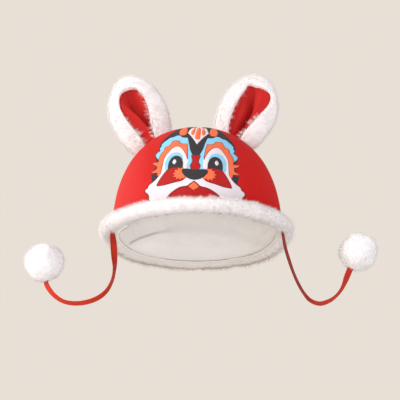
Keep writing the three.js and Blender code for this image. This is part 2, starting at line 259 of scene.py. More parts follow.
def colour_prop(name, description, default):
    return bpy.props.FloatVectorProperty(
        name=name, description=description, default=default, size=3, min=0.0, max=1.0,
        subtype="COLOR",
    )


def count_prop(name, description, default):
    return bpy.props.IntProperty(name=name, description=description, default=default, min=100, max=200000)


def share_prop(name, description, default, top=1.0):
    return bpy.props.FloatProperty(name=name, description=description, default=default, min=0.0, max=top)


class HatCrownSettings(bpy.types.PropertyGroup):
    half_width: length_prop("Half width", "Half the crown's width at the rim", CROWN_HIGH[0])
    half_depth: length_prop("Half depth", "Half the crown's depth at the rim", -CROWN_LOW[1])
    height: length_prop("Height", "From the rim to the top", CROWN_HIGH[2] - CROWN_LOW[2] + EDGE_Z)
    fullness: share_prop("Fullness", "How full the side view is: 2 is an ellipse", 2.3, 4.0)
    cloth: length_prop("Cloth", "Thickness of the red cloth", 2.0 * MM)
    lining: length_prop("Lining", "Thickness of the lining", 2.3 * MM)
    fold: length_prop("Fold", "How far the lining's slack fold hangs in", 4.2 * MM)
    red: colour_prop("Red", "Colour of the red cloth", (0.545, 0.016, 0.0155))
    cream: colour_prop("Cream", "Colour of the lining", (0.94, 0.935, 0.935))


class HatPlushSettings(bpy.types.PropertyGroup):
    roll_out: length_prop("Roll reach", "Half the roll's section, sideways", 8.5 * MM)
    roll_up: length_prop("Roll height", "Half the roll's section, upwards", 6.7 * MM)
    ear_thickness: length_prop("Ear thickness", "Thickness of the stuffed ears", 19.0 * MM)
    pompom_radius: length_prop("Pompom radius", "Radius of the trimmed pompoms", 17.6 * MM)
    hair: length_prop("Pile", "Length of the plush pile", 3.2 * MM)
    hair_width: length_prop("Hair width", "Half the width of one tuft of hair at its root", 0.055 * MM)
    roll_hairs: count_prop("Roll hairs", "Tufts of hair on each half of the roll", 33000)
    ear_hairs: count_prop("Ear hairs", "Tufts of hair on each ear", 31000)
    pompom_hairs: count_prop("Pompom hairs", "Tufts of hair on each pompom", 6500)
    white: colour_prop("White", "Colour of the plush", (0.955, 0.932, 0.945))
    yarn: colour_prop("Yarn white", "Colour of the pompoms", (0.885, 0.88, 0.905))


class HatTieSettings(bpy.types.PropertyGroup):
    width: length_prop("Width", "Width of the ribbons", 6.0 * MM)
    thickness: length_prop("Thickness", "Thickness of the ribbons", 0.55 * MM)
    length: length_prop("Length", "Length of each tie, with what is sewn in", 0.124)
    red: colour_prop("Red", "Colour of the ribbons", (0.43, 0.018, 0.0065))


class HatFaceSettings(bpy.types.PropertyGroup):
    film: length_prop("Film", "Thickness of one printed layer", 0.06 * MM)
    step: length_prop("Step", "From one printed layer to the next", 0.07 * MM)
    dark: colour_prop("Charcoal", "Colour of the nose, eyes and mask", (0.034, 0.031, 0.036))
    blue: colour_prop("Sky blue", "Colour of the brows", (0.24, 0.56, 0.80))
    orange: colour_prop("Orange", "Colour of the brow bands and petals", (0.80, 0.155, 0.062))
    pale: colour_prop("Lilac white", "Colour of the whiskers and eye fields", (0.70, 0.64, 0.70))
    red: colour_prop("Print red", "Colour of the cheeks and the nose bridge", (0.40, 0.010, 0.0095))
    line: colour_prop("Outline", "Colour of the thin outlines", (0.16, 0.012, 0.018))


class HatStageSettings(bpy.types.PropertyGroup):
    elevation: bpy.props.FloatProperty(
        name="Elevation", description="Height of the camera above the horizon",
        default=math.radians(-17.4), subtype="ANGLE", unit="ROTATION",
    )
    distance: length_prop("Distance", "From the camera to the hat", 1.4, 10.0)
    lens: share_prop("Lens", "Focal length in millimetres", 138.6, 500.0)
    key: share_prop("Key light", "Power of the light from the left, in watts", 37.5, 500.0)
    fill: share_prop("Fill light", "Power of the light from below, in watts", 9.8, 500.0)
    side: share_prop("Side light", "Power of the light from the right, in watts", 8.0, 500.0)
    backdrop: colour_prop("Backdrop", "Colour behind the hat", (0.807, 0.745, 0.672))
    floor: colour_prop("Floor", "Colour of the floor", (0.80, 0.75, 0.69))


GROUPS = {
    "hat_crown": HatCrownSettings,
    "hat_plush": HatPlushSettings,
    "hat_ties": HatTieSettings,
    "hat_face": HatFaceSettings,
    "hat_stage": HatStageSettings,
}


# Small tools

def clamp(value, low=0.0, high=1.0):
    return max(low, min(high, value))


def ease(value, start, end):
    """Rises smoothly from 0 at start to 1 at end; numbers or arrays."""
    share = np.clip((value - start) / (end - start), 0.0, 1.0)
    return share * share * (3.0 - 2.0 * share)


def unit(rows):
    """Rows of an array brought to length 1."""
    return rows / np.maximum(np.linalg.norm(rows, axis=1, keepdims=True), 1e-12)


def read_rows(rows, height):
    """Reads a table at a height with a smooth curve through its rows."""
    last = len(rows) - 1
    i = 0
    while i < last - 1 and rows[i + 1][0] < height:
        i += 1
    low, high = rows[i], rows[i + 1]
    span = high[0] - low[0]
    share = clamp((height - low[0]) / span)
    values = []
    for k in range(1, len(low)):
        slope = (high[k] - low[k]) / span
        before = (low[k] - rows[i - 1][k]) / (low[0] - rows[i - 1][0]) if i else slope
        after = (rows[i + 2][k] - high[k]) / (rows[i + 2][0] - high[0]) if i + 1 < last else slope
        m0, m1 = (before + slope) / 2 * span, (after + slope) / 2 * span
        a, b = share * share * (3 - 2 * share), share * (1 - share)
        values.append(low[k] * (1 - a) + high[k] * a + b * ((1 - share) * m0 - share * m1))
    return values


def waver(place, size, seed=0.0):
    """Soft noise from -1 to 1 with patches of a size, at a place in metres."""
    return noise.noise(Vector(place) / size + Vector((seed, 7.3 * seed, -3.1 * seed)))


class Dome:
    """The crown's form. Every layer of it is set in from one outer surface."""

    def __init__(self, crown):
        self.half_width = crown.half_width
        self.half_depth = crown.half_depth
        self.height = crown.height
        self.fullness = crown.fullness
        self.cloth = crown.cloth
        self.lining_inset = crown.cloth + GAP + crown.lining
        self.seat = crown.height - self.lining_inset

    def dip(self, y, z):
        """How far the rim's dip behind lowers a place."""
        drop = RIM_DIP * ease(y / self.half_depth, 0.0, RIM_DIP_SHARE)
        return drop * np.clip(1.0 - z / RIM_DIP_REACH, 0.0, 1.0)

    def undip(self, y, z):
        """The height that a place has before the dip lowers it."""
        drop = RIM_DIP * ease(y / self.half_depth, 0.0, RIM_DIP_SHARE)
        return np.where(z < RIM_DIP_REACH, (z + drop) / (1.0 + drop / RIM_DIP_REACH), z)

    def depth(self, places, inset=0.0):
        """Above 0 outside the dome, below 0 inside, about in metres near the surface."""
        x, y, z = places[:, 0], places[:, 1], np.maximum(self.undip(places[:, 1], places[:, 2]), 0.0)
        plan = (x / (self.half_width - inset)) ** 2 + (y / (self.half_depth - inset)) ** 2
        rise = z / (self.height - inset)
        return (plan ** (self.fullness / 2) + rise ** self.fullness) ** (1 / self.fullness) * 0.08 - 0.08

    def facing(self, place):
        """The direction that the dome's surface faces at a place, before the dip."""
        n = self.fullness
        plan = max((place[0] / self.half_width) ** 2 + (place[1] / self.half_depth) ** 2, 1e-9)
        share = plan ** (n / 2 - 1)
        up = max(place[2], 0.0) / self.height
        return Vector((
            share * place[0] / self.half_width**2,
            share * place[1] / self.half_depth**2,
            up ** (n - 1) / self.height,
        )).normalized()

    def section(self, x, degrees):
        """A surface place: sideways x, and an angle up and over from the rim's front."""
        turn = math.radians(degrees)
        low, high = 0.0, 0.2
        side = (x / self.half_width) ** 2
        for _ in range(34):
            middle = (low + high) / 2
            plan = side + (middle * math.cos(turn) / self.half_depth) ** 2
            rise = max(middle * math.sin(turn), 0.0) / self.height
            if plan ** (self.fullness / 2) + rise**self.fullness > 1:
                high = middle
            else:
                low = middle
        return Vector((x, -low * math.cos(turn), low * math.sin(turn)))

    def cloth_rise(self, place):
        """How far the cloth stands proud of the dome at a place: soft swells, small
        gathers above the roll, and puckers along the seam over the top."""
        x, y, z = place
        swell = 0.42 * MM * waver(place, 34 * MM) + 0.13 * MM * waver(place, 13 * MM, 2.0)
        turn = math.atan2(y, x)
        gather = max(0.0, 1.0 - z / (22 * MM)) ** 2
        gather *= 0.30 * MM * math.sin(turn * 26 + 3.0 * waver(place, 40 * MM, 5.0))
        near = abs(y - SEAM_Y)
        along = math.atan2(z, x) * 84 * MM
        pucker = math.exp(-near / (5 * MM)) * 0.22 * MM
        pucker *= math.sin(along * 2 * math.pi / (7.5 * MM) + 2.5 * waver(place, 25 * MM, 9.0)) - 0.6
        ditch = -1.1 * MM * math.exp(-((near / (0.95 * MM)) ** 2))
        return swell + gather + pucker + ditch


def smooth_faces(bm, sharp_degrees=None):
    """Smooth shading, with the edges that turn further than an angle left sharp."""
    for face in bm.faces:
        face.smooth = True
    if sharp_degrees is not None:
        limit = math.radians(sharp_degrees)
        for edge in bm.edges:
            if len(edge.link_faces) == 2 and edge.calc_face_angle(0.0) > limit:
                edge.smooth = False


def close_up(bm):
    """Merges doubles and turns every face outwards."""
    bmesh.ops.remove_doubles(bm, verts=bm.verts[:], dist=1e-7)
    bmesh.ops.recalc_face_normals(bm, faces=bm.faces[:])
    if bm.calc_volume(signed=True) < 0:
        bmesh.ops.reverse_faces(bm, faces=bm.faces[:])


def keep_piece(name, bm, finishes, seat, nodes=()):
    """Turns a bmesh into a piece of the hat that rides on its body."""
    bmesh.ops.translate(bm, verts=bm.verts[:], vec=(0.0, 0.0, -seat))
    mesh = bpy.data.meshes.new(name)
    bm.to_mesh(mesh)
    bm.free()
    return keep_mesh(name, mesh, finishes, nodes)


def keep_mesh(name, mesh, finishes, nodes=()):
    piece = bpy.data.objects.new(name, mesh)
    bpy.context.scene.collection.objects.link(piece)
    for finish in finishes:
        mesh.materials.append(finish)
    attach(piece, BODY)
    if nodes:
        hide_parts(*nodes)
    return piece


def thicken(piece, thickness):
    """Gives a sheet its wall, behind the side that shows."""
    wall = piece.modifiers.new("Cloth wall", "SOLIDIFY")
    wall.thickness = thickness
    wall.offset = -1.0
    wall.use_even_offset = False
    wall.use_rim = True
    return wall


def write_map(bm, name, place):
    """A UV map in metres: place gives each corner's two numbers from its vertex."""
    layer = bm.loops.layers.uv.new(name)
    for face in bm.faces:
        for loop in face.loops:
            loop[layer].uv = place(loop.vert)


# Finishes

class Nodes:
    """A few short words for building a material's nodes."""

    def __init__(self, name):
        self.material = bpy.data.materials.new(name)
        self.material.use_nodes = True
        self.tree = self.material.node_tree
        self.shader = self.tree.nodes["Principled BSDF"]

    def add(self, kind, inputs=(), **settings):
        node = self.tree.nodes.new(kind)
        for key, value in settings.items():
            setattr(node, key, value)
        for key, value in dict(inputs).items():
            if hasattr(value, "node"):
                self.tree.links.new(value, node.inputs[key])
            else:
                node.inputs[key].default_value = value
        return node

    def link(self, out, into):
        self.tree.links.new(out, into)

    def object_place(self):
        return self.add("ShaderNodeTexCoord").outputs["Object"]

    def map_place(self, name):
        return self.add("ShaderNodeUVMap", uv_map=name).outputs["UV"]

    def stretch(self, place, scale):
        return self.add("ShaderNodeMapping", {"Vector": place, "Scale": scale}).outputs["Vector"]

    def cloud(self, place, scale, detail=2.0, roughness=0.5):
        inputs = {"Vector": place, "Scale": scale, "Detail": detail, "Roughness": roughness}
        return self.add("ShaderNodeTexNoise", inputs).outputs["Fac"]

    def bands(self, place, period, direction, wobble=0.0):
        inputs = {"Vector": place, "Scale": 0.31416 / period, "Distortion": wobble, "Detail": 1.0}
        node = self.add("ShaderNodeTexWave", inputs, wave_type="BANDS", bands_direction=direction)
        return node.outputs["Fac"]

    def sums(self, kind, a, b, clamped=False):
        return self.add("ShaderNodeMath", {0: a, 1: b}, operation=kind, use_clamp=clamped).outputs[0]

    def spread(self, value, low, high, to_low=0.0, to_high=1.0):
        inputs = {"Value": value, "From Min": low, "From Max": high, "To Min": to_low, "To Max": to_high}
        return self.add("ShaderNodeMapRange", inputs).outputs["Result"]

    def blend(self, share, a, b):
        node = self.add("ShaderNodeMix", data_type="RGBA")
        for key, value in ((0, share), (6, a), (7, b)):
            if hasattr(value, "node"):
                self.link(value, node.inputs[key])
            else:
                node.inputs[key].default_value = value if key == 0 else (*value, 1.0)
        return node.outputs[2]

    def relief(self, height, distance, strength=1.0, under=None):
        inputs = {"Height": height, "Distance": distance, "Strength": strength}
        if under is not None:
            inputs["Normal"] = under
        return self.add("ShaderNodeBump", inputs).outputs["Normal"]

    def set(self, **values):
        for key, value in values.items():
            socket = self.shader.inputs[key.replace("_", " ").title().replace("Ior", "IOR")]
            if hasattr(value, "node"):
                self.link(value, socket)
            else:
                socket.default_value = value


def tone(colour, factor, shift=(1.0, 1.0, 1.0)):
    return tuple(clamp(c * factor * s) for c, s in zip(colour, shift))


def weave_height(nodes, place, period):
    """Crossed threads of a plain weave on a flat map in metres."""
    warp = nodes.bands(place, period, "X", 0.4)
    weft = nodes.bands(place, period, "Y", 0.4)
    return nodes.sums("MULTIPLY", nodes.sums("ADD", warp, weft), 0.5)


def red_cloth_finish(crown):
    """Brushed red cloth: a fine weave under a short nap, with painted light in its colour: a painted highlight on the
    lower left, painted shade on the right, and painted shade on the ear fronts and the crown's very top.
    """
    nodes = Nodes("brushed_red_cloth")
    place = nodes.object_place()
    flat = nodes.map_place("Cloth")
    broad = nodes.cloud(place, 26.0, 3.0)
    nap = nodes.cloud(place, 950.0, 3.0, 0.6)
    streak = nodes.cloud(nodes.stretch(place, (1.0, 1.0, 0.25)), 320.0, 2.0)
    red = tuple(crown.red)
    axes = nodes.add("ShaderNodeSeparateXYZ", {"Vector": place}).outputs
    # Painted highlight: the lower left of the cloth, towards the light, is paler.
    painted_highlight_left = nodes.spread(axes["X"], -42 * MM, -84 * MM)
    painted_highlight_left = nodes.sums("MULTIPLY", painted_highlight_left, nodes.spread(axes["Z"], -8 * MM, -36 * MM))
    # Painted shade: the right side, away from the light, turns a deeper red.
    painted_shade_right = nodes.spread(axes["X"], 10 * MM, 60 * MM)
    # Painted shade: from just below the crown's top upwards, over the ear fronts, the red is darker, as shade between
    # the plush.
    ears = nodes.spread(axes["Z"], 2 * MM, 14 * MM, 0.0, 0.75)
    patches = nodes.blend(nodes.spread(broad, 0.3, 0.7), tone(red, 0.9), tone(red, 1.08, (1.0, 1.1, 1.1)))
    fibres = nodes.blend(nodes.spread(nap, 0.3, 0.75), tone(red, 0.8), tone(red, 1.16, (1.0, 1.5, 1.4)))
    colour = nodes.blend(0.42, patches, fibres)
    colour = nodes.blend(painted_highlight_left, colour, tone(red, 1.2, (1.0, 2.7, 2.6)))
    colour = nodes.blend(nodes.sums("MULTIPLY", painted_shade_right, 0.7), colour, tone(red, 1.0, (1.0, 0.25, 0.2)))
    colour = nodes.blend(ears, colour, tone(red, 0.84, (1.0, 1.6, 1.5)))
    height = nodes.sums("ADD", weave_height(nodes, flat, 0.62 * MM), nodes.sums("ADD", nap, streak))
    nodes.set(
        base_color=colour,
        roughness=nodes.spread(nap, 0.2, 0.8, 0.72, 0.92),
        specular_ior_level=0.11,
        sheen_weight=0.02,
        sheen_roughness=0.4,
        sheen_tint=(1.0, 0.35, 0.3, 1.0),
        normal=nodes.relief(height, 0.16 * MM, 0.55),
    )
    return nodes.material


def lining_finish(crown):
    """Cream fleece: short looped pile with soft mottling."""
    nodes = Nodes("cream_fleece")
    place = nodes.object_place()
    broad = nodes.cloud(place, 30.0, 2.0)
    loops = nodes.add("ShaderNodeTexVoronoi", {"Vector": place, "Scale": 850.0}, feature="SMOOTH_F1")
    fluff = nodes.cloud(place, 1500.0, 2.0)
    cream = tuple(crown.cream)
    mottled = nodes.blend(nodes.spread(broad, 0.3, 0.7), tone(cream, 0.96, (1.0, 0.99, 0.97)), tone(cream, 1.04))
    up = nodes.add("ShaderNodeSeparateXYZ", {"Vector": place}).outputs["Z"]
    seat = Dome(crown).seat
    # Painted shade: the lining is darker and warmer higher up, deeper inside the crown.
    painted_cavity_shade = nodes.spread(up, 16 * MM - seat, 46 * MM - seat, 0.0, 0.8)
    mottled = nodes.blend(painted_cavity_shade, mottled, tone(cream, 0.74, (1.0, 0.98, 0.93)))
    tufted = nodes.blend(nodes.spread(loops.outputs["Distance"], 0.1, 0.8), tone(cream, 1.05), tone(cream, 0.86))
    height = nodes.sums("SUBTRACT", fluff, loops.outputs["Distance"])
    nodes.set(
        base_color=nodes.blend(0.3, mottled, tufted),
        roughness=nodes.spread(fluff, 0.2, 0.8, 0.84, 0.97),
        specular_ior_level=0.15,
        sheen_weight=0.25,
        sheen_roughness=0.6,
        normal=nodes.relief(height, 0.25 * MM, 0.5),
    )
    return nodes.material


def thread_finish(crown):
    """Twisted sewing thread, dark as the seam's shadow line: its colour is painted shadow, fading to a paler cream in
    patches.
    """
    nodes = Nodes("seam_thread_painted_shadow")
    place = nodes.object_place()
    grain = nodes.cloud(place, 600.0, 2.0)
    cream = tuple(crown.cream)
    # Painted shadow: the thread's dark tones stand for the shadow line in the seam; where the noise named sunk is high,
    # it fades paler.
    dull, light = tone(cream, 0.4, (1.0, 0.96, 0.91)), tone(cream, 0.66, (1.0, 0.97, 0.93))
    twist = nodes.blend(nodes.spread(grain, 0.35, 0.75), dull, light)
    sunk = nodes.cloud(nodes.stretch(place, (1.0, 0.4, 1.0)), 34.0, 2.0)
    nodes.set(
        base_color=nodes.blend(nodes.spread(sunk, 0.46, 0.6), twist, tone(cream, 0.82)),
        roughness=nodes.spread(grain, 0.2, 0.8, 0.7, 0.9),
        specular_ior_level=0.2,
        normal=nodes.relief(nodes.cloud(place, 2500.0, 2.0), 0.1 * MM, 0.5),
    )
    return nodes.material


def painted_nape_shade(nodes, place, colour, white):
    """Painted shade: the plush is a little darker and creamier at the nape, low in the back of the roll."""
    axes = nodes.add("ShaderNodeSeparateXYZ", {"Vector": place}).outputs
    nape = nodes.sums("MULTIPLY", nodes.spread(axes["Y"], 20 * MM, 64 * MM), nodes.spread(axes["Z"], -84 * MM, -94 * MM))
    return nodes.blend(nape, colour, tone(white, 0.9, (1.0, 0.985, 0.94)))


def plush_base_finish(name, white):
    """The plush's backing and the dense foot of its pile."""
    nodes = Nodes(name)
    place = nodes.object_place()
    tufts = nodes.cloud(place, 420.0, 3.0, 0.6)
    broad = nodes.cloud(place, 60.0, 2.0)
    white = tuple(white)
    colour = nodes.blend(nodes.spread(tufts, 0.25, 0.6), tone(white, 0.95, (1.0, 0.99, 0.985)), white)
    colour = nodes.blend(nodes.spread(broad, 0.35, 0.65, 0.0, 0.3), colour, tone(white, 1.02))
    nodes.set(
        base_color=painted_nape_shade(nodes, place, colour, white),
        roughness=nodes.spread(tufts, 0.2, 0.8, 0.85, 0.98),
        specular_ior_level=0.1,
        sheen_weight=0.05,
        sheen_roughness=0.6,
        normal=nodes.relief(tufts, 0.5 * MM, 0.5),
    )
    return nodes.material


def plush_hair_finish(name, white):
    """Hairs of the plush: white at the tip, a little darker and creamier at the root as painted shade, each with its
    own small difference of tone, and much darker in gaps as painted shadow.
    """
    nodes = Nodes(name)
    along = nodes.add("ShaderNodeAttribute", attribute_name="along").outputs["Fac"]
    shade = nodes.add("ShaderNodeAttribute", attribute_name="shade").outputs["Fac"]
    white = tuple(white)
    # Painted shade: each hair is a little darker and creamier towards its root.
    colour = nodes.blend(nodes.spread(along, 0.0, 0.8), tone(white, 0.97, (1.0, 0.99, 0.985)), tone(white, 1.02))
    colour = nodes.blend(nodes.spread(shade, 0.0, 0.6, 0.0, 0.3), colour, tone(white, 0.95, (1.0, 0.99, 0.99)))
    colour = painted_nape_shade(nodes, nodes.object_place(), colour, white)
    # Painted shadow: hairs that stand in gaps are much darker.
    colour = nodes.blend(nodes.spread(shade, 0.6, 1.0, 0.0, 0.9), colour, tone(white, 0.5, (1.0, 0.97, 0.9)))
    nodes.set(
        base_color=colour,
        roughness=nodes.spread(shade, 0.0, 1.0, 0.55, 0.8),
        specular_ior_level=0.15,
    )
    return nodes.material


def ribbon_finish(ties):
    """Woven satin ribbon: fine threads along it, a corded edge on each side, a painted highlight on the left tie's
    outer part and painted shade on the right tie's hanging part.
    """
    nodes = Nodes("red_satin_ribbon")
    flat = nodes.map_place("Ribbon")
    place = nodes.object_place()
    parts = nodes.add("ShaderNodeSeparateXYZ", {"Vector": flat})
    across = nodes.sums("ABSOLUTE", parts.outputs["X"], 0.0)
    edge = nodes.spread(across, ties.width * 0.41, ties.width * 0.47)
    threads = nodes.bands(flat, 0.34 * MM, "X", 0.3)
    picks = nodes.bands(flat, 0.42 * MM, "Y", 0.5)
    slubs = nodes.cloud(nodes.stretch(flat, (1.0, 0.06, 1.0)), 2200.0, 2.0)
    wear = nodes.cloud(place, 120.0, 3.0)
    red = tuple(ties.red)
    colour = nodes.blend(nodes.spread(threads, 0.0, 1.0), tone(red, 0.84), tone(red, 1.1, (1.0, 1.2, 1.1)))
    colour = nodes.blend(nodes.spread(slubs, 0.35, 0.75, 0.0, 0.35), colour, tone(red, 1.2, (1.0, 1.6, 1.4)))
    colour = nodes.blend(nodes.sums("MULTIPLY", edge, 0.45), colour, tone(red, 0.66))
    colour = nodes.blend(nodes.spread(wear, 0.4, 0.7, 0.0, 0.18), colour, tone(red, 0.8))
    # Painted highlight: the left tie is paler further out to the left, towards the light.
    sideways = nodes.add("ShaderNodeSeparateXYZ", {"Vector": place}).outputs["X"]
    colour = nodes.blend(nodes.spread(sideways, -76 * MM, -100 * MM), colour, tone(red, 1.4, (1.0, 1.3, 1.4)))
    # Painted shade: the right tie is darker over its hanging part, away from the light.
    painted_shade = nodes.sums("MULTIPLY", nodes.spread(sideways, 30 * MM, 60 * MM), nodes.spread(sideways, 104 * MM, 92 * MM))
    colour = nodes.blend(painted_shade, colour, tone(red, 0.62, (1.0, 0.9, 0.9)))
    height = nodes.sums("ADD", threads, nodes.sums("MULTIPLY", picks, nodes.sums("ADD", edge, 0.35)))
    nodes.set(
        base_color=colour,
        roughness=nodes.spread(slubs, 0.2, 0.8, 0.38, 0.55),
        specular_ior_level=0.2,
        anisotropic=0.45,
        normal=nodes.relief(height, 0.05 * MM, 0.6),
    )
    return nodes.material


def print_finish(name, colour, gloss=0.6):
    """Printed film on the cloth: matt ink that lets the weave show through."""
    nodes = Nodes(name)
    flat = nodes.map_place("Cloth")
    place = nodes.object_place()
    broad = nodes.cloud(place, 70.0, 2.0)
    grain = nodes.cloud(flat, 1400.0, 3.0, 0.65)
    colour = tuple(colour)
    ink = nodes.blend(nodes.spread(broad, 0.3, 0.7), tone(colour, 0.95), tone(colour, 1.05))
    ink = nodes.blend(nodes.spread(grain, 0.58, 0.75, 0.0, 0.35), ink, tone(colour, 0.82))
    height = nodes.sums("ADD", weave_height(nodes, flat, 0.62 * MM), nodes.sums("MULTIPLY", grain, 0.6))
    nodes.set(
        base_color=ink,
        roughness=nodes.spread(grain, 0.3, 0.7, gloss, gloss + 0.15),
        specular_ior_level=0.2,
        normal=nodes.relief(height, 0.07 * MM, 0.4),
    )
    return nodes.material


def floor_finish(stage):
    """Plain pale paper."""
    nodes = Nodes("pale_floor")
    grain = nodes.cloud(nodes.object_place(), 3.0, 2.0)
    floor = tuple(stage.floor)
    nodes.set(
        base_color=nodes.blend(nodes.spread(grain, 0.3, 0.7), tone(floor, 0.99), tone(floor, 1.01)),
        roughness=0.95,
        specular_ior_level=0.1,
    )
    return nodes.material


def finish_of(name, make, *settings):
    """A finish that several pieces share: made once."""
    return bpy.data.materials.get(name) or make(*settings)


# Plush pile

def sow(bm, count, rng):
    """Scatters hair roots evenly over a bmesh: their places and the way they face."""
    bm.normal_update()
    bm.verts.index_update()
    place = np.array([v.co for v in bm.verts])
    facing = np.array([v.normal for v in bm.verts])
    corner = np.array([[loop.vert.index for loop in tri] for tri in bm.calc_loop_triangles()])
    a, b, c = (place[corner[:, k]] for k in range(3))
    area = np.cumsum(np.linalg.norm(np.cross(b - a, c - a), axis=1))
    pick = np.searchsorted(area, (np.arange(count) + rng.random(count)) / count * area[-1])
    pick = np.minimum(pick, len(corner) - 1)
    u, v = rng.random(count), rng.random(count)
    over = u + v > 1
    u[over], v[over] = 1 - u[over], 1 - v[over]
    share = np.stack([1 - u - v, u, v], axis=1)[:, :, None]
    root = (place[corner[pick]] * share).sum(axis=1)
    return root, unit((facing[corner[pick]] * share).sum(axis=1))


def comb(root, facing, rng, tuft_size=3.2 * MM, gather=0.8, loose=0.42):
    """The way each hair points: out, towards its tuft's middle, and a little astray.
    Also how full it is grown, which its tuft shares."""
    count = len(root)
    span = np.ptp(root, axis=0)
    wanted = max(12, int((span[0] * span[1] + span[1] * span[2] + span[2] * span[0]) * 2 / tuft_size**2))
    tufts = rng.choice(count, size=min(wanted, count), replace=False)
    tree = kdtree.KDTree(len(tufts))
    for k, i in enumerate(tufts):
        tree.insert(root[i], k)
    tree.balance()
    nearest = np.array([tufts[tree.find(p)[1]] for p in root])
    towards = (root[nearest] - root) / tuft_size
    lean = rng.normal(size=(len(tufts), 3)) * 0.22
    which = np.zeros(count, int)
    which[tufts] = np.arange(len(tufts))
    astray = rng.normal(size=(count, 3)) * loose
    full = rng.uniform(0.72, 1.28, len(tufts))[which[nearest]] * rng.normal(1.0, 0.1, count)
    return unit(facing + gather * towards + lean[which[nearest]] + astray), np.clip(full, 0.5, 1.5)


def hair_mesh(name, root, way, length, width, seat, rng, painted_shade=np.zeros(1)):
    """One joined mesh of closed, three-sided hairs, with a map that has room for each.
    Painted shade is how much each hair stands in a gap's painted shadow."""
    count = len(root)
    way = unit(way)
    side = unit(np.cross(way, rng.normal(size=(count, 3))))
    other = np.cross(way, side)
    turn = rng.random(count) * 2 * np.pi
    corner = np.empty((count, 4, 3))
    for k in range(3):
        angle = (turn + k * 2 * np.pi / 3)[:, None]
        corner[:, k] = root + (np.cos(angle) * side + np.sin(angle) * other) * width[:, None]
    corner[:, 3] = root + way * length[:, None]
    corner[:, :, 2] -= seat
    sides = np.array([[0, 1, 3], [1, 2, 3], [2, 0, 3], [0, 2, 1]])
    faces = (np.arange(count) * 4)[:, None, None] + sides[None]
    mesh = bpy.data.meshes.new(name)
    mesh.vertices.add(count * 4)
    mesh.vertices.foreach_set("co", corner.astype(np.float32).ravel())
    mesh.loops.add(count * 12)
    mesh.loops.foreach_set("vertex_index", faces.astype(np.int32).ravel())
    mesh.polygons.add(count * 4)
    mesh.polygons.foreach_set("loop_start", np.arange(0, count * 12, 3, dtype=np.int32))
    mesh.update(calc_edges=True)
    mesh.polygons.foreach_set("use_smooth", np.ones(count * 4, bool))
    along = mesh.attributes.new("along", "FLOAT", "POINT")
    along.data.foreach_set("value", np.tile([0.0, 0.0, 0.0, 1.0], count).astype(np.float32))
    shade = mesh.attributes.new("shade", "FLOAT", "POINT")
    # Up to 0.6 each hair's own small difference of tone; above it, painted shadow for hairs in gaps.
    shade.data.foreach_set("value", np.repeat(np.where(painted_shade > 0.02, 0.6 + 0.4 * painted_shade, 0.6 * rng.random(count)), 4).astype(np.float32))
    columns = math.ceil(math.sqrt(count))
    cell = np.stack([np.arange(count) % columns, np.arange(count) // columns], axis=1)[:, None, None]
    fan = np.array([
        [[0.08, 0.08], [0.36, 0.08], [0.5, 0.92]],
        [[0.36, 0.08], [0.64, 0.08], [0.5, 0.92]],
        [[0.64, 0.08], [0.92, 0.08], [0.5, 0.92]],
        [[0.06, 0.7], [0.2, 0.92], [0.06, 0.92]],
    ])
    layer = mesh.uv_layers.new(name="OFBake")
    layer.data.foreach_set("uv", ((cell + fan[None]) / columns).astype(np.float32).ravel())
    return mesh


def thickness(plush, full, rng):
    """Half the width of each hair at its root; a few stand together as thicker locks."""
    lock = rng.random(len(full)) < 0.07
    full[lock] *= 1.2
    return plush.hair_width * np.where(lock, 2.6, 0.8 + 0.4 * rng.random(len(full)))


# Ribbons

def route(points):
    """A smooth route through points, as close stations: place, share of the rows."""
    ends = [points[0] * 2 - points[1], *points, points[-1] * 2 - points[-2]]
    stations = []
    for i in range(1, len(ends) - 2):
        p = ends[i - 1:i + 3]
        gaps = [max((p[k + 1] - p[k]).length ** 0.5, 1e-6) for k in range(3)]
        m1 = ((p[1] - p[0]) / gaps[0] - (p[2] - p[0]) / (gaps[0] + gaps[1]) + (p[2] - p[1]) / gaps[1]) * gaps[1]
        m2 = ((p[2] - p[1]) / gaps[1] - (p[3] - p[1]) / (gaps[1] + gaps[2]) + (p[3] - p[2]) / gaps[2]) * gaps[1]
        last = i == len(ends) - 3
        for k in range(13 if last else 12):
            t = k / 12
            bend = (p[1] * 2 - p[2] * 2 + m1 + m2) * t**3 + (p[2] * 3 - p[1] * 3 - m1 * 2 - m2) * t**2
            stations.append((bend + m1 * t + p[1], i - 1 + t))
    return stations


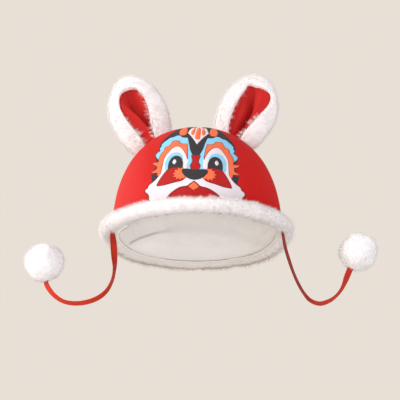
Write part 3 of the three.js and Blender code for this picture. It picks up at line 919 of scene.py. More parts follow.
def sweep_ribbon(bm, rows, width, thickness):
    """Carries the ribbon's section along its route, extruding one ring at a time."""
    points = [Vector(row[:3]) for row in rows]
    turns = [(i, row[3]) for i, row in enumerate(rows)]
    stations = route(points)
    across_of = bm.verts.layers.float.new("across")
    through_of = bm.verts.layers.float.new("through")
    along_of = bm.verts.layers.float.new("along_ribbon")
    half, thin = width / 2, thickness / 2
    top = [
        (-half, 0.0), (-half * 0.97, thin * 1.15), (-half * 0.9, thin * 1.25), (-half * 0.83, thin * 0.85),
        (-half * 0.4, thin * 0.95), (half * 0.4, thin * 0.95), (half * 0.83, thin * 0.85),
        (half * 0.9, thin * 1.25), (half * 0.97, thin * 1.15), (half, 0.0),
    ]
    section = top + [(a, -b) for a, b in reversed(top[1:-1])]
    ring = []
    for across, through in section:
        vert = bm.verts.new()
        vert[across_of], vert[through_of] = across, through
        ring.append(vert)
    edges = [bm.edges.new((ring[i], ring[(i + 1) % len(ring)])) for i in range(len(ring))]
    back = Vector((0.0, 1.0, 0.0))
    passed = 0.0
    ends = [edges]
    for k, (place, share) in enumerate(stations):
        before, after = stations[max(k - 1, 0)][0], stations[min(k + 1, len(stations) - 1)][0]
        tangent = (after - before).normalized()
        passed += (place - stations[max(k - 1, 0)][0]).length
        turn = math.radians(read_rows(turns, share)[0])
        across = tangent.cross(back).normalized() * math.cos(turn) + back * math.sin(turn)
        through = tangent.cross(across)
        if k:
            grown = bmesh.ops.extrude_edge_only(bm, edges=edges)["geom"]
            ring = [g for g in grown if isinstance(g, bmesh.types.BMVert)]
            edges = [g for g in grown if isinstance(g, bmesh.types.BMEdge)]
            edges = [e for e in edges if e.verts[0] in ring and e.verts[1] in ring]
        cup = 0.25 * MM * math.sin(share * 1.7)
        for vert in ring:
            bow = cup * (1 - (vert[across_of] / half) ** 2)
            vert.co = place + across * vert[across_of] + through * (vert[through_of] + bow)
            vert[along_of] = passed
    ends.append(edges)
    for open_ring in ends:
        bmesh.ops.edgeloop_fill(bm, edges=open_ring)
    close_up(bm)
    write_map(bm, "Ribbon", lambda v: (v[across_of], v[along_of]))
    return [place for place, _ in stations]


# Pieces

class HAT_OT_stage(bpy.types.Operator):
    """Sets up the floor, the soft light, the backdrop's colour and the camera"""

    bl_idname = "hat.stage"
    bl_label = "Stage"

    def execute(self, context):
        scene, stage = context.scene, context.scene.hat_stage
        dome = Dome(scene.hat_crown)
        target = Vector((2.73 * MM, 0.0, 30.58 * MM - dome.seat))
        look = Vector((0.0, math.cos(stage.elevation), -math.sin(stage.elevation)))
        view = bpy.data.cameras.new("hat_camera")
        view.sensor_width = 36.0
        view.lens = stage.lens
        view.clip_start, view.clip_end = 0.05, 30.0
        camera = bpy.data.objects.new("hat_camera", view)
        camera.location = target - look * stage.distance
        camera.rotation_mode = "QUATERNION"
        camera.rotation_quaternion = look.to_track_quat("-Z", "Y")
        scene.collection.objects.link(camera)
        scene.camera = camera

        scene.view_settings.view_transform = "Standard"
        world = bpy.data.worlds.new("soft_room")
        world.use_nodes = True
        world.node_tree.nodes["Background"].inputs["Color"].default_value = (*stage.backdrop, 1.0)
        world.node_tree.nodes["Background"].inputs["Strength"].default_value = 1.0
        scene.world = world

        self.lamp(scene, "key_light", stage.key, 1.1, (-1.75, -1.05, 0.55), (1.0, 0.985, 0.97))
        self.lamp(scene, "fill_light", stage.fill, 0.9, (0.25, -1.35, -1.25), (0.82, 0.88, 1.0))
        self.lamp(scene, "side_light", stage.side, 1.2, (1.45, -1.1, 0.35), (0.72, 0.82, 1.0))

        bm = bmesh.new()
        bmesh.ops.create_grid(bm, x_segments=8, y_segments=8, size=5.0)
        bmesh.ops.translate(bm, verts=bm.verts[:], vec=(0.0, 0.0, -2.2))
        mesh = bpy.data.meshes.new("floor")
        bm.to_mesh(mesh)
        bm.free()
        mesh.materials.append(floor_finish(stage))
        floor = bpy.data.objects.new("floor", mesh)
        scene.collection.objects.link(floor)
        return {"FINISHED"}

    def lamp(self, scene, name, power, size, place, colour):
        light = bpy.data.lights.new(name, "AREA")
        light.shape = "DISK"
        light.size = size
        light.energy = power
        light.color = colour
        lamp = bpy.data.objects.new(name, light)
        lamp.location = place
        lamp.rotation_mode = "QUATERNION"
        lamp.rotation_quaternion = (Vector((0.0, 0.0, -0.05)) - Vector(place)).to_track_quat("-Z", "Y")
        scene.collection.objects.link(lamp)


class HAT_OT_pompoms(bpy.types.Operator):
    """Makes the two trimmed plush pompoms"""

    bl_idname = "hat.pompoms"
    bl_label = "Pompoms"

    def execute(self, context):
        plush = context.scene.hat_plush
        for side, centre, seed in (("left", POMPOM_LEFT, 11), ("right", POMPOM_RIGHT, 12)):
            rng = np.random.default_rng(seed)
            heart = plush.pompom_radius - 0.3 * plush.hair
            bm = bmesh.new()
            bmesh.ops.create_icosphere(bm, subdivisions=5, radius=heart)
            for vert in bm.verts:
                lump = 1.7 * MM * waver(vert.co, 12 * MM, seed) + 0.7 * MM * waver(vert.co, 4.5 * MM, seed)
                lump += 1.5 * MM * waver(vert.co, 27 * MM, seed + 2.0)
                vert.co += vert.co.normalized() * lump
            bmesh.ops.translate(bm, verts=bm.verts[:], vec=centre)
            root, facing = sow(bm, plush.pompom_hairs, rng)
            smooth_faces(bm)
            base = finish_of("white_yarn_base", plush_base_finish, "white_yarn_base", plush.yarn)
            hair = finish_of("white_yarn_hair", plush_hair_finish, "white_yarn_hair", plush.yarn)
            keep_piece(f"pompom_{side}_heart", bm, [base], 0.0, [f"pompom_{side}"])
            way, full = comb(root, unit(facing + unit(root - np.array(centre))), rng)
            width = thickness(plush, full, rng)
            length = 0.62 * plush.hair * full
            mesh = hair_mesh(f"pompom_{side}_pile", root, way, length, width, 0.0, rng)
            keep_mesh(f"pompom_{side}_pile", mesh, [hair], [f"pompom_{side}"])
        return {"FINISHED"}


class HAT_OT_ties(bpy.types.Operator):
    bl_idname = "hat.ties"
    bl_label = "Ties"

    def execute(self, context):
        ties = context.scene.hat_ties
        finish = finish_of("red_satin_ribbon", ribbon_finish, ties)
        for side, rows, centre in (("left", TIE_LEFT, POMPOM_LEFT), ("right", TIE_RIGHT, POMPOM_RIGHT)):
            inwards = (Vector(centre) - Vector(rows[-1][:3])).normalized() * 4.0 * MM
            sewn_in = (rows[0][0], rows[0][1], rows[0][2] + 2.5 * MM, rows[0][3])
            tucked = (*(Vector(rows[-1][:3]) + inwards), rows[-1][3])
            bm = bmesh.new()
            path = sweep_ribbon(bm, (sewn_in, *rows, tucked), ties.width, ties.thickness)
            smooth_faces(bm, 50)
            piece = keep_piece(f"tie_{side}_ribbon", bm, [finish], 0.0, [f"tie_{side}"])
        return {"FINISHED"}


def spin_dome(bm, dome, inset, step, around, low=0.0):
    """Spins the dome's side line into a cap that is closed at the top. The rows stand
    step apart along the line, and a third of that below the height low."""
    line = [bm.verts.new((1.0, 0.0, EDGE_Z))]
    top = dome.height - inset
    last = None
    for k in range(1801):
        turn = k / 1800 * math.pi / 2
        radius = math.cos(turn) ** (2 / dome.fullness) if k < 1800 else 0.0
        here = Vector((radius * (dome.half_width - inset), 0.0, math.sin(turn) ** (2 / dome.fullness) * top))
        if last and k < 1800 and (here - last).length < (step if here.z > low else step / 3):
            continue
        line.append(bm.verts.new((radius, 0.0, here.z)))
        last = here
    edges = [bm.edges.new(pair) for pair in zip(line, line[1:])]
    bmesh.ops.spin(
        bm, geom=line + edges, cent=(0, 0, 0), axis=(0, 0, 1), angle=2 * math.pi,
        steps=around, use_merge=True, use_duplicate=False,
    )
    bmesh.ops.remove_doubles(bm, verts=bm.verts[:], dist=1e-6)
    bmesh.ops.scale(bm, verts=bm.verts[:], vec=(dome.half_width - inset, dome.half_depth - inset, 1.0))
    bmesh.ops.recalc_face_normals(bm, faces=bm.faces[:])


class HAT_OT_crown(bpy.types.Operator):
    """Makes the crown's front and back panels, joined by the seam over the top"""

    bl_idname = "hat.crown"
    bl_label = "Crown panels"

    def execute(self, context):
        crown = context.scene.hat_crown
        dome = Dome(crown)
        finish = finish_of("brushed_red_cloth", red_cloth_finish, crown)
        for side, direction in (("front", -1), ("back", 1)):
            bm = bmesh.new()
            spin_dome(bm, dome, 0.0, 2.2 * MM, 216)
            for away in (0.0, 0.5, 1.0, 1.6, 2.4, 3.6):
                bmesh.ops.bisect_plane(
                    bm, geom=bm.verts[:] + bm.edges[:] + bm.faces[:], dist=1e-6,
                    plane_co=(0.0, SEAM_Y + direction * away * MM, 0.0), plane_no=(0.0, -direction, 0.0),
                    clear_outer=away == 0.0,
                )
            write_map(bm, "Cloth", lambda v: cloth_map(v.co))
            moved = [(v, v.co + dome.facing(v.co) * dome.cloth_rise(v.co)) for v in bm.verts]
            for vert, place in moved:
                place.z -= float(dome.dip(place.y, place.z))
                vert.co = place
            smooth_faces(bm)
            piece = keep_piece(
                f"crown_{side}_cloth", bm, [finish], dome.seat, [f"crown_{side}_panel"],
            )
            thicken(piece, crown.cloth)
        return {"FINISHED"}


def cloth_map(place):
    """The flat place of a spot of the crown: sideways, and up and over from the rim."""
    turn = math.atan2(max(place[2], 0.0), -place[1])
    return place[0], turn * 92 * MM


class HAT_OT_lining(bpy.types.Operator):
    """Makes the cream lining, with its slack fold inside the back"""

    bl_idname = "hat.lining"
    bl_label = "Lining"

    def execute(self, context):
        crown = context.scene.hat_crown
        dome = Dome(crown)
        bm = bmesh.new()
        spin_dome(bm, dome, dome.lining_inset, 1.8 * MM, 180, 30 * MM)
        for vert in bm.verts:
            place = vert.co.copy()
            if place.y > 0:
                place.y -= self.fold(dome, crown, place)
            crease = ease(place.z, 2 * MM, 12 * MM) * (1 - ease(place.z, 74 * MM, 88 * MM))
            sag = 1.0 * waver(place, 26 * MM, 4.0) + 0.45 * abs(waver(place, 9 * MM, 6.0))
            place -= dome.facing(place) * float(crease) * (0.5 + sag) * 1.1 * MM
            place.z -= float(dome.dip(place.y, place.z))
            vert.co = place
        bmesh.ops.reverse_faces(bm, faces=bm.faces[:])
        smooth_faces(bm)
        finish = finish_of("cream_fleece", lining_finish, crown)
        piece = keep_piece("lining_cloth", bm, [finish], dome.seat, ["lining"])
        thicken(piece, crown.lining - 0.6 * MM)
        return {"FINISHED"}

    def fold(self, dome, crown, place):
        """How far the slack fold hangs in: crisp on the left, fading to the right."""
        share = place.y / (dome.half_depth - dome.lining_inset)
        right = float(ease(place.x, -15 * MM, 50 * MM))
        crest = FOLD_CREST_Z * max(0.0, (share - FOLD_START) / (1 - FOLD_START)) ** (0.85 + 0.35 * right)
        if crest < 0.5 * MM or place.z < 0:
            return 0.0
        soft = float(ease(place.x, -46 * MM, -8 * MM))
        above = 1 - float(ease(place.z, crest - 5.0 * soft * MM, crest + (1.0 + 7.0 * soft) * MM))
        depth = crown.fold * (0.78 - 0.2 * soft - 0.2 * right) * min(1.0, crest / (3 * MM))
        return depth * float(ease(place.z / crest, 0.0, 0.9)) * above


def spin_ring(bm, around):
    """Spins a closed section, which stands 80 mm out, into a ring round the opening."""
    bmesh.ops.spin(
        bm, geom=bm.verts[:] + bm.edges[:], cent=(0, 0, 0), axis=(0, 0, 1), angle=2 * math.pi,
        steps=around, use_merge=True, use_duplicate=False,
    )
    close_up(bm)


def ring_place(dome, turn, out, up):
    """A place beside the roll's middle line: outwards and up, with the rim's dip."""
    facing = Vector((math.cos(turn) / TRIM_HALF_WIDTH, math.sin(turn) / TRIM_HALF_DEPTH, 0.0)).normalized()
    middle = Vector((TRIM_HALF_WIDTH * math.cos(turn), TRIM_HALF_DEPTH * math.sin(turn), up))
    place = middle + facing * out
    place.z -= float(dome.dip(place.y, 0.0))
    return place


class HAT_OT_rim(bpy.types.Operator):
    """Makes the plush roll round the opening, and its pile"""

    bl_idname = "hat.rim"
    bl_label = "Rim roll"

    def execute(self, context):
        plush = context.scene.hat_plush
        dome = Dome(context.scene.hat_crown)
        base = finish_of("white_plush_base", plush_base_finish, "white_plush_base", plush.white)
        hair = finish_of("white_plush_hair", plush_hair_finish, "white_plush_hair", plush.white)
        bm = bmesh.new()
        self.roll(bm, dome, plush)
        for half, direction, seed in (("front", -1, 21), ("back", 1, 22)):
            rng = np.random.default_rng(seed)
            part = bm.copy()
            bmesh.ops.bisect_plane(
                part, geom=part.verts[:] + part.edges[:] + part.faces[:], dist=1e-7,
                plane_co=(0, 0, 0), plane_no=(0, -direction, 0), clear_outer=True,
            )
            root, facing = sow(part, plush.roll_hairs, rng)
            part.free()
            self.grow(f"rim_pile_{half}", dome, plush, root, facing, hair, rng)
        smooth_faces(bm)
        roll = keep_piece("rim_roll", bm, [base], dome.seat, ["rim_trim"])
        fleece = finish_of("cream_fleece", lining_finish, context.scene.hat_crown)
        thread = finish_of("seam_thread_painted_shadow", thread_finish, context.scene.hat_crown)
        self.hem(dome, "rim_hem", fleece, 0.6 * MM, 0.7 * MM, True)
        self.hem(dome, "lining_seam", thread, 0.35 * MM, 0.35 * MM, False)
        return {"FINISHED"}

    def hem(self, dome, name, finish, half_width, half_height, wide):
        """A band between the roll and the lining that follows the hem's inner edge:
        the fleece hem itself, from the roll inwards, or the thread of its seam, dark with painted shadow."""
        bm = bmesh.new()
        bmesh.ops.create_circle(bm, cap_ends=False, radius=1.0, segments=14 if wide else 6)
        for vert in bm.verts:
            vert.co = (0.08 + vert.co.x * MM, 0.0, vert.co.y * MM)
        spin_ring(bm, 240)
        for vert in bm.verts:
            across = (math.hypot(vert.co.x, vert.co.y) - 0.08) / MM
            turn = math.atan2(vert.co.y, vert.co.x)
            away = math.remainder(turn - HEM_WIDEST_TURN, 2 * math.pi)
            extra = HEM_EXTRA * math.exp(-((away / 0.3) ** 2))
            wave = 0.3 * MM * waver((math.cos(turn) * 0.08, math.sin(turn) * 0.08, 0.0), 9 * MM, 12.0)
            inner = -8.4 * MM - extra + wave
            if wide:
                out = inner + (1 + across) * (half_width + extra / 2)
            else:
                out = inner - 0.1 * MM + across * half_width
            plump = 1.0 + 0.9 * extra / HEM_EXTRA if wide else 1.0
            up = -1.7 * MM + vert.co.z / MM * half_height * plump - (0.2 if wide else 0.36) * extra
            vert.co = ring_place(dome, turn, out, up)
        smooth_faces(bm)
        keep_piece(name, bm, [finish], dome.seat, ["rim_trim"])

    def pile_at(self, plush, turn):
        """The pile's share of its length round the section: short on the inner side."""
        inner = ease(-np.cos(turn - 0.35), 0.35, 0.95)
        return 1.0 - 0.62 * inner

    def roll(self, bm, dome, plush):
        made = bmesh.ops.create_circle(bm, cap_ends=False, radius=1.0, segments=36)
        for vert in made["verts"]:
            turn = math.atan2(vert.co.y, vert.co.x)
            sink = 0.42 * plush.hair * float(self.pile_at(plush, turn))
            out = (plush.roll_out - sink) * math.cos(turn) - 0.33 * plush.hair * max(math.cos(turn), 0.0)
            up = (plush.roll_up - sink) * math.sin(turn)
            cloth = dome.half_width + GAP - TRIM_HALF_WIDTH
            under = EDGE_Z - GAP
            if up > under and out < cloth:
                if cloth - out < up - under:
                    out = cloth
                else:
                    up = under
            vert.co = (0.08 + out, 0.0, up)
        spin_ring(bm, 360)
        for vert in bm.verts:
            turn = math.atan2(vert.co.y, vert.co.x)
            out = math.hypot(vert.co.x, vert.co.y) - 0.08
            flat = Vector((math.cos(turn) * 0.08, math.sin(turn) * 0.08, 0.0))
            swell = 0.1 * waver(flat, 16 * MM, 8.0) + 0.13 * waver(flat + vert.co / 2, 5 * MM, 1.0)
            if out > 0:
                out += 6 * MM * swell
            full = max(0.25 * float(ease(-math.sin(turn), 0.1, 0.7)), 0.2 * float(ease(math.sin(turn), 0.1, 0.7)))
            vert.co = ring_place(dome, turn, out, vert.co.z * (1 + swell + (full if vert.co.z < 0 else 0.0)))

    def grow(self, name, dome, plush, root, facing, hair, rng):
        around = np.arctan2(root[:, 1] / TRIM_HALF_DEPTH, root[:, 0] / TRIM_HALF_WIDTH)
        middle = np.stack([TRIM_HALF_WIDTH * np.cos(around), TRIM_HALF_DEPTH * np.sin(around)], axis=1)
        outwards = unit(np.stack([np.cos(around) / TRIM_HALF_WIDTH, np.sin(around) / TRIM_HALF_DEPTH], axis=1))
        out = ((root[:, :2] - middle) * outwards).sum(axis=1)
        up = root[:, 2] + dome.dip(root[:, 1], 0.0)
        turn = np.arctan2(up / plush.roll_up, out / plush.roll_out)
        bare = (up > EDGE_Z - GAP - 0.2 * MM) & (out < dome.half_width + GAP - TRIM_HALF_WIDTH + 0.25 * MM)
        keep = ~(bare & (up < 3.2 * MM))
        root, facing, around, turn, out, up = (a[keep] for a in (root, facing, around, turn, out, up))
        down = np.array([0.0, 0.0, -1.0])
        beside = np.stack([TRIM_HALF_WIDTH * np.cos(around), TRIM_HALF_DEPTH * np.sin(around)], axis=1)
        strand = np.column_stack([beside, 0.35 * up + 0.25 * out])
        lock = np.array([waver(p, 2.3 * MM, 3.0) for p in strand])
        ahead = ease(-root[:, 1], 10 * MM, 60 * MM)
        behind = ease(root[:, 1], 10 * MM, 60 * MM)
        hang = ahead * np.exp(-(((turn + 1.95) / 0.55) ** 2)) + 0.4 * behind * np.exp(-(((turn + 1.25) / 0.5) ** 2))
        gathered = ease(lock, -0.05, 0.25)
        # Painted shade: hairs on the inner side of the back band, and in the partings of its pile, are marked to be
        # darkened as shadow.
        inside = behind * np.exp(-(((turn + 2.1) / 0.7) ** 2))
        parting = np.abs([waver(p, 4.5 * MM, 6.0) for p in strand])
        gap = behind * np.exp(-(((turn + 1.55) / 0.45) ** 2)) * (1 - ease(parting, 0.07, 0.22))
        gap = np.maximum(gap, 0.4 * inside)
        hang *= 0.35 + 1.0 * gathered
        top = np.exp(-(((turn - 1.8) / 0.6) ** 2))
        wisp = top * ease(lock, 0.1, 0.3)
        way, full = comb(root, unit(facing + down * (0.25 * (up < 1.5 * MM) + 0.5 * hang)[:, None]), rng)
        width = thickness(plush, full, rng)
        length = plush.hair * full * np.maximum(self.pile_at(plush, turn), np.minimum(hang, 1.0))
        length *= 1.0 + 0.5 * hang - 0.4 * top + 0.45 * wisp
        length *= 1.0 - 0.5 * behind * np.exp(-(((turn + 1.05) / 0.75) ** 2)) * (1 - gathered)
        width = width * (1.0 + 0.8 * wisp + 0.6 * hang * gathered)
        bold = rng.random(len(root)) < 0.035 * hang * behind + 0.02 * wisp
        width[bold] *= 3.2
        length[bold] = np.minimum(length[bold] * 1.35, 6.0 * MM)
        tips = root + way * length[:, None]
        sunk = dome.depth(tips) < 0.25 * MM
        sunk &= tips[:, 2] > EDGE_Z
        lift = np.array([dome.facing(p) for p in root])
        way[sunk] = unit(way[sunk] + 0.9 * lift[sunk])
        mesh = hair_mesh(name, root, way, length, width, dome.seat, rng, gap)
        keep_mesh(name, mesh, [hair], ["rim_trim"])


class Ear:
    """One ear's own frame: across to the right, back, and up along its axis."""

    def __init__(self, table):
        self.table = table
        self.base = Vector(table["base"]) * MM
        self.along = (Vector(table["tip"]) - Vector(table["base"])).normalized()

    def place(self, across, back, up):
        return Vector((
            self.base.x + self.along.x * up + self.along.y * across,
            SEAM_Y + back,
            self.base.y + self.along.y * up - self.along.x * across,
        ))

    def own(self, places):
        """Across, back and up of places in the hat's frame."""
        x, z = places[:, 0] - self.base.x, places[:, 2] - self.base.y
        across = x * self.along.y - z * self.along.x
        up = x * self.along.x + z * self.along.y
        return across, places[:, 1] - SEAM_Y, up

    def edges(self, rows, up):
        return [v * MM for v in read_rows(self.table[rows], up / MM)]

    def within_panel(self, across, up):
        """How far inside the red front's outline a place is; below 0 outside it."""
        left, right = self.edges("panel", up)
        top = self.table["panel"][-1][0] * MM
        return min(across - left, right - across, top - up)

    def front(self, across, up):
        """How far back the red front lies: a lobe folds over a valley that fades upwards."""
        (crease,) = self.edges("crease", up)
        side = self.table["lip_side"]
        past = (across - crease) * side
        top = self.table["panel"][-1][0] * MM
        fade = 1 - float(ease(up, top - 19 * MM, top - 1 * MM))
        lobe = 3.1 * MM * float(ease(past, -0.2 * MM, 1.5 * MM)) * (0.4 + 0.6 * math.exp(-max(past, 0) / (9 * MM)))
        steep = 0.8 * MM + 7.5 * MM * float(ease(up, top - 31 * MM, top - 8 * MM))
        flat, far = (v * MM for v in self.table["valley"])
        valley = 7.6 * MM * (1 - float(ease(past, -0.3 * MM, steep))) * (1 - float(ease(-past, flat, far)))
        return -4.4 * MM + (valley - lobe) * (0.3 + 0.7 * fade)

    def fringe(self, across, up, inside):
        """How much the hairs beside the red front hang over it, and to which side: along
        all of one edge, and along the lower part of the edge beside the lobe."""
        middle = np.array([sum(self.edges("panel", u)) / 2 for u in up])
        towards = np.sign(middle - across)
        beside_lobe = (across - middle) * self.table["lip_side"] > 0
        top = np.where(beside_lobe, 34 * MM, 58 * MM)
        near = ease(inside, -3.6 * MM, -0.4 * MM)
        full = np.where(beside_lobe, 0.9, self.table["fringe"])
        return near, near * full * (1 - ease(up, top - 9 * MM, top)), towards


def set_on_crown(bm, dome, ear, bottom=GAP):
    """Slides what is inside the crown up the ear's axis, until it lies on the crown."""
    for vert in bm.verts:
        place = np.array([vert.co])
        if dome.depth(place)[0] >= bottom:
            continue
        up = Vector((ear.along.x, 0.0, ear.along.y))
        low, high = 0.0, 0.06
        for _ in range(24):
            middle = (low + high) / 2
            if dome.depth(np.array([vert.co + up * middle]))[0] < bottom:
                low = middle
            else:
                high = middle
        vert.co += up * high


class HAT_OT_ear_plush(bpy.types.Operator):
    """Makes the stuffed plush of both ears, hollowed in front, and its pile"""

    bl_idname = "hat.ear_plush"
    bl_label = "Ear plush"

    def execute(self, context):
        plush = context.scene.hat_plush
        dome = Dome(context.scene.hat_crown)
        base = finish_of("white_plush_base", plush_base_finish, "white_plush_base", plush.white)
        hair = finish_of("white_plush_hair", plush_hair_finish, "white_plush_hair", plush.white)
        for side, table, seed in (("left", EAR_LEFT, 31), ("right", EAR_RIGHT, 32)):
            ear = Ear(table)
            rng = np.random.default_rng(seed)
            bm = bmesh.new()
            self.body(bm, ear, plush)
            set_on_crown(bm, dome, ear)
            close_up(bm)
            root, facing = sow(bm, plush.ear_hairs, rng)
            self.grow(f"ear_{side}_pile", dome, ear, plush, root, facing, hair, rng)
            smooth_faces(bm)
            node = f"ear_{side}_plush"
            piece = keep_piece(f"ear_{side}_body", bm, [base], dome.seat, [node])
        return {"FINISHED"}

    def body(self, bm, ear, plush):
        sink = 0.35 * plush.hair
        rows = ear.table["outline"]
        root, top = rows[0][0] * MM, rows[-1][0] * MM - sink
        half = plush.ear_thickness / 2 - sink
        bmesh.ops.create_uvsphere(bm, u_segments=144, v_segments=96, radius=1.0)
        for vert in bm.verts:
            x, y, z = vert.co
            ring = max(math.hypot(x, y), 1e-6)
            up = root + (top - root) * (z + 1) / 2
            left, right = ear.edges("outline", up * rows[-1][0] * MM / top if up > 0 else up)
            left, right = left + sink, max(right - sink, left + sink + 0.2 * MM)
            squared = [math.copysign(abs(v) ** 0.7, v) for v in (x / ring, y / ring)]
            across = (left + right) / 2 + (right - left) / 2 * squared[0] * min(1.0, ring * 1e3)
            back = half * squared[1] * math.sqrt(ring)
            if back < 0:
                inside = ear.within_panel(across, up)
                bed = EAR_BED
                hollow = float(ease(inside, -0.8 * MM, 1.8 * MM))
                back = back + (bed - back) * hollow if back < bed else back
            place = ear.place(across, back, up)
            lump = 0.8 * MM * waver(place, 9 * MM, 1.0) + 0.35 * MM * waver(place, 3.5 * MM, 2.0)
            vert.co = place + Vector((0.6 * x, -abs(y) if back < 0 else 0.5, 0.3)) * lump

    def grow(self, name, dome, ear, plush, root, facing, hair, rng):
        across, back, up = ear.own(root)
        inside = np.array([ear.within_panel(a, u) for a, u in zip(across, up)])
        keep = ~((back < EAR_BED + 0.9 * MM) & (inside > -0.35 * MM)) & (dome.depth(root) > 0.7 * MM)
        root, facing, across, back, up, inside = (
            a[keep] for a in (root, facing, across, back, up, inside)
        )
        way, full = comb(root, facing, rng)
        near, hang, towards = ear.fringe(across, up, np.where(back < 0, inside, -1.0))
        hang *= ease(np.array([waver(p, 2.2 * MM, 4.0) for p in root]), -0.15, 0.2)
        sideways = np.array([ear.along.y, 0.0, -ear.along.x]) * towards[:, None]
        leaning = np.maximum((way * sideways).sum(axis=1), 0.0)
        way = unit(way + sideways * (1.7 * hang - near * (1 - hang) * leaning)[:, None])
        width = thickness(plush, full, rng) * (1.0 + 0.8 * hang)
        length = 0.86 * plush.hair * full * (1.0 + 0.9 * hang)
        tips = root + way * length[:, None]
        sunk = dome.depth(tips) < 0.3 * MM
        lift = np.array([dome.facing(p) for p in root])
        way[sunk] = unit(way[sunk] + 1.0 * lift[sunk])
        mesh = hair_mesh(name, root, way, length, width, dome.seat, rng)
        node = name.replace("_pile", "_plush")
        keep_mesh(name, mesh, [hair], [node])


class HAT_OT_ear_fronts(bpy.types.Operator):
    """Makes the red cloth fronts of both ears, each with its fold"""

    bl_idname = "hat.ear_fronts"
    bl_label = "Ear fronts"

    def execute(self, context):
        crown = context.scene.hat_crown
        dome = Dome(crown)
        finish = finish_of("brushed_red_cloth", red_cloth_finish, crown)
        for side, table in (("left", EAR_LEFT), ("right", EAR_RIGHT)):
            ear = Ear(table)
            bm = bmesh.new()
            bmesh.ops.create_grid(bm, x_segments=56, y_segments=64, size=0.5)
            rows = table["panel"]
            spare = 0.9 * MM
            root, top = rows[0][0] * MM, rows[-1][0] * MM + spare
            flat = {}
            for vert in bm.verts:
                up = root + (top - root) * (vert.co.y + 0.5)
                left, right = ear.edges("panel", up)
                pinch = float(ease(up, top - 2.5 * MM, top)) * 0.35
                left, right = left - spare + pinch * (right - left), right + spare - pinch * (right - left)
                across = left + (right - left) * (vert.co.x + 0.5)
                back = ear.front(across, up)
                edge = float(ease(min(across - left, right - across, top - up), 1.6 * MM, 0.0))
                back += edge * 0.8 * MM + 0.18 * MM * waver((across, 0.0, up), 9 * MM, 3.0)
                vert.co = ear.place(across, back, up)
                flat[vert] = (across, up)
            bm.normal_update()
            if sum(face.normal.y for face in bm.faces) > 0:
                bmesh.ops.reverse_faces(bm, faces=bm.faces[:])
            write_map(bm, "Cloth", lambda v: flat[v])
            set_on_crown(bm, dome, ear)
            foot = [v for v in bm.verts if flat[v][1] < 10 * MM]
            bmesh.ops.remove_doubles(bm, verts=foot, dist=0.15 * MM)
            smooth_faces(bm)
            node = f"ear_{side}_panel"
            piece = keep_piece(f"ear_{side}_front", bm, [finish], dome.seat, [node])
            thicken(piece, 1.5 * MM)
        return {"FINISHED"}


def smooth_outline(rows, closed=True, step=0.7):
    """A closed outline through points; a third number keeps a corner sharp."""
    count = len(rows)
    out = []
    for i in range(count if closed else count - 1):
        before, here, after, beyond = (Vector(rows[(i + k) % count][:2]) for k in (-1, 0, 1, 2))
        chord = after - here
        sharp_here = len(rows[i]) > 2
        sharp_after = len(rows[(i + 1) % count]) > 2
        if not closed and i == 0:
            before, sharp_here = here, False
            m0 = chord
        if not closed and i == count - 2:
            beyond = after
        m0 = chord if sharp_here else (after - before) / 2
        m1 = chord if sharp_after else (beyond - here) / 2
        for m in (m0, m1):
            if m.length > 1.6 * chord.length:
                m *= 1.6 * chord.length / m.length
        steps = max(1, round(chord.length / step))
        for k in range(steps):
            t = k / steps
            a, b, c, d = 2 * t**3 - 3 * t**2 + 1, t**3 - 2 * t**2 + t, -2 * t**3 + 3 * t**2, t**3 - t**2
            out.append(here * a + m0 * b + after * c + m1 * d)
    if not closed:
        out.append(Vector(rows[-1][:2]))
    return out


def mirrored(points):
    """The same points on the other side of the face, in an order that still runs round."""
    return [Vector((-p.x, p.y)) for p in reversed(points)]


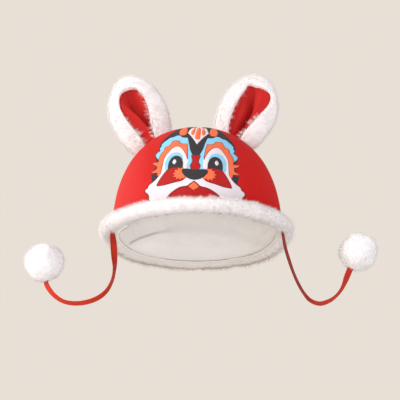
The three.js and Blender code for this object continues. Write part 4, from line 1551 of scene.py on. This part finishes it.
class HAT_OT_face(bpy.types.Operator):
    """Prints the lion face on the front panel, one thin film for each part"""

    bl_idname = "hat.face"
    bl_label = "Printed face"

    def execute(self, context):
        scene, face = context.scene, context.scene.hat_face
        self.dome, self.face = Dome(scene.hat_crown), face
        self.measure()
        ink = {
            name: print_finish(f"print_{name}", getattr(face, name), 0.66 if name == "pale" else 0.6)
            for name in ("dark", "blue", "orange", "pale", "red", "line")
        }
        whole = self.whole
        pair = self.pair
        sun = self.sun()
        # name, filled outlines, colour, layer, thin lines drawn on it and their width in mm
        parts = (
            ("mask", [whole("mask"), *pair("side_spot"), *pair("side_tuft")], "dark", 0, (), 0),
            ("mouth", [whole("mouth")], "red", 0, (), 0),
            ("brows", pair("brow"), "blue", 1, (), 0),
            ("forehead_kite", [whole("forehead_kite")], "pale", 1, (), 0),
            ("brow_drops", pair("brow_drop"), "orange", 1, ("brow_drop",), 0.36),
            ("eye_fields", pair("eye_field"), "pale", 2, (), 0),
            ("petals", [whole("petal_middle"), *pair("petal_inner"), *pair("petal_outer")], "orange", 2, (), 0),
            ("brow_bands", pair("brow_band"), "orange", 3, ("brow_band",), 0.38),
            ("whiskers", [whole("whiskers")], "pale", 3, ("whisker_top", "whisker_under"), 0.75),
            ("lids", pair("lid"), "blue", 3, (), 0),
            ("cheeks", pair("cheek"), "red", 4, ("cheek",), 0.6),
            ("nose_bridge", [whole("nose_bridge")], "red", 3, ("bridge_side",), 0.5),
            ("tongue", [whole("tongue")], "orange", 4, (), 0),
            ("cheek_suns", [sun, mirrored(sun)], "orange", 5, (), 0),
            ("eyes", pair("eye"), "dark", 6, (), 0),
            ("nose", [whole("nose")], "dark", 6, (), 0),
            ("eye_glints", pair("eye_glint"), "pale", 7, (), 0),
        )
        for name, outlines, colour, layer, lines, width in parts:
            self.film(f"print_{name}", outlines, [ink[colour], ink["line"]], layer, lines, width)
        return {"FINISHED"}

    def whole(self, name):
        """A part that crosses the face's middle: its right half and the mirrored one."""
        right = smooth_outline(FACE[name], closed=False)
        left = [Vector((-p.x, p.y)) for p in reversed(right)]
        joined = right + left
        return [p for i, p in enumerate(joined) if (p - joined[i - 1]).length > 0.05]

    def pair(self, name):
        right = smooth_outline(FACE[name])
        return [right, mirrored(right)]

    def sun(self):
        """The rayed spot on the right cheek."""
        x, y, low, high, rays = CHEEK_SUN
        out = []
        for k in range(rays * 2):
            turn = math.radians(-168 + 300 * k / (rays * 2 - 1))
            reach = high if k % 2 else low + 0.7
            out.append(Vector((x + reach * math.cos(turn), y + reach * math.sin(turn) * 0.92)))
        return out

    def measure(self):
        """Lengths along the crown's middle section, to wrap the flat face round it."""
        self.lengths = [0.0]
        last = self.dome.section(0.0, 0.0)
        for k in range(1, 241):
            place = self.dome.section(0.0, k * 0.5)
            self.lengths.append(self.lengths[-1] + (place - last).length)
            last = place

    def wrap(self, x, length, lift):
        """A place on the cloth for a place of the flat face, raised by a lift."""
        degrees = float(np.interp(length, self.lengths, np.arange(len(self.lengths)) * 0.5))
        place = self.dome.section(x, degrees)
        return place + self.dome.facing(place) * (self.dome.cloth_rise(place) + lift)

    def stroke(self, bm, points, closed, width):
        """Draws a thin line half a layer above the part: one short edge, extruded along."""
        edge = bm.edges.new((bm.verts.new((0, 0, 0.5)), bm.verts.new((0, 0, 0.5))))
        points = [*points, points[0]] if closed else points
        for k, here in enumerate(points):
            before = points[k - 1] if k else (points[-2] if closed else here)
            after = points[k + 1] if k + 1 < len(points) else (points[1] if closed else here)
            ahead = (after - before).normalized()
            side = Vector((-ahead.y, ahead.x)) * width / 2
            if k:
                grown = bmesh.ops.extrude_edge_only(bm, edges=[edge])["geom"]
                verts = [g for g in grown if isinstance(g, bmesh.types.BMVert)]
                edge = next(e for e in grown if isinstance(e, bmesh.types.BMEdge) and e.verts[0] in verts and e.verts[1] in verts)
                for face in grown:
                    if isinstance(face, bmesh.types.BMFace):
                        face.material_index = 1
            edge.verts[0].co.xy = here - side
            edge.verts[1].co.xy = here + side

    def film(self, name, outlines, finishes, layer, lines, width):
        bm = bmesh.new()
        for outline in outlines:
            bm.faces.new([bm.verts.new((p.x, p.y, 0.0)) for p in outline])
        for row in lines:
            closed = row not in FACE_LINES
            right = smooth_outline(FACE[row] if closed else FACE_LINES[row], closed)
            for points in (right, mirrored(right)):
                self.stroke(bm, points, closed, width)
        bm.normal_update()
        for face in bm.faces:
            if face.normal.z < 0:
                face.normal_flip()
        bmesh.ops.triangulate(bm, faces=bm.faces[:], quad_method="BEAUTY", ngon_method="BEAUTY")
        low, high = (
            [f(v.co[k] for v in bm.verts) for k in (0, 1)] for f in (min, max)
        )
        for axis in (0, 1):
            normal = (1, 0, 0) if axis == 0 else (0, 1, 0)
            at = math.ceil(low[axis] / 2.2) * 2.2
            while at < high[axis]:
                bmesh.ops.bisect_plane(
                    bm, geom=bm.verts[:] + bm.edges[:] + bm.faces[:], dist=1e-5,
                    plane_co=tuple(at * n for n in normal), plane_no=normal,
                )
                at += 2.2
        bmesh.ops.remove_doubles(bm, verts=bm.verts[:], dist=1e-3)
        bmesh.ops.triangulate(bm, faces=bm.faces[:])
        tilt = math.radians(FACE_TILT)
        flat = {}
        for vert in bm.verts:
            x, y = vert.co.x, vert.co.y
            x += 0.8 * float(ease(-x, 30.0, 43.0) * ease(-y, 1.0, 8.0)) + 2.4 * float(ease(-x, 8.0, 25.0) * ease(-y, 6.0, 16.0))
            lift = 0.12 * MM + (layer + vert.co.z) * self.face.step
            across = (NOSE_AT[0] + x * math.cos(tilt) - y * math.sin(tilt)) * MM
            length = (NOSE_AT[1] + x * math.sin(tilt) + y * math.cos(tilt)) * MM
            vert.co = self.wrap(across, max(length, 1.0 * MM), lift)
            flat[vert] = cloth_map(vert.co)
        write_map(bm, "Cloth", lambda v: flat[v])
        bm.normal_update()
        if sum(face.normal.y * face.calc_area() for face in bm.faces) > 0:
            bmesh.ops.reverse_faces(bm, faces=bm.faces[:])
        smooth_faces(bm)
        piece = keep_piece(name, bm, finishes, self.dome.seat)
        thicken(piece, self.face.film)


OPERATORS = (
    HAT_OT_stage,
    HAT_OT_pompoms,
    HAT_OT_ties,
    HAT_OT_crown,
    HAT_OT_face,
    HAT_OT_lining,
    HAT_OT_rim,
    HAT_OT_ear_plush,
    HAT_OT_ear_fronts,
)


class HAT_PT_panel(bpy.types.Panel):
    """Lists the hat's settings and the steps that build it"""

    bl_idname = "HAT_PT_panel"
    bl_label = "Festive Ear Hat"
    bl_space_type = "VIEW_3D"
    bl_region_type = "UI"
    bl_category = "Hat"

    def draw(self, context):
        for operator in OPERATORS:
            self.layout.operator(operator.bl_idname)
        for name, group in GROUPS.items():
            box = self.layout.box()
            for key in group.__annotations__:
                box.prop(getattr(context.scene, name), key)


CLASSES = (*GROUPS.values(), *OPERATORS, HAT_PT_panel)


def register():
    for cls in CLASSES:
        bpy.utils.register_class(cls)
    for name, group in GROUPS.items():
        setattr(bpy.types.Scene, name, bpy.props.PointerProperty(type=group))


def unregister():
    for name in GROUPS:
        delattr(bpy.types.Scene, name)
    for cls in reversed(CLASSES):
        bpy.utils.unregister_class(cls)


def main():
    register()
    bpy.ops.hat.stage()
    bpy.ops.hat.pompoms()
    bpy.ops.hat.ties()
    bpy.ops.hat.crown()
    bpy.ops.hat.face()
    bpy.ops.hat.lining()
    bpy.ops.hat.rim()
    bpy.ops.hat.ear_plush()
    bpy.ops.hat.ear_fronts()


if __name__ == "__main__":
    main()
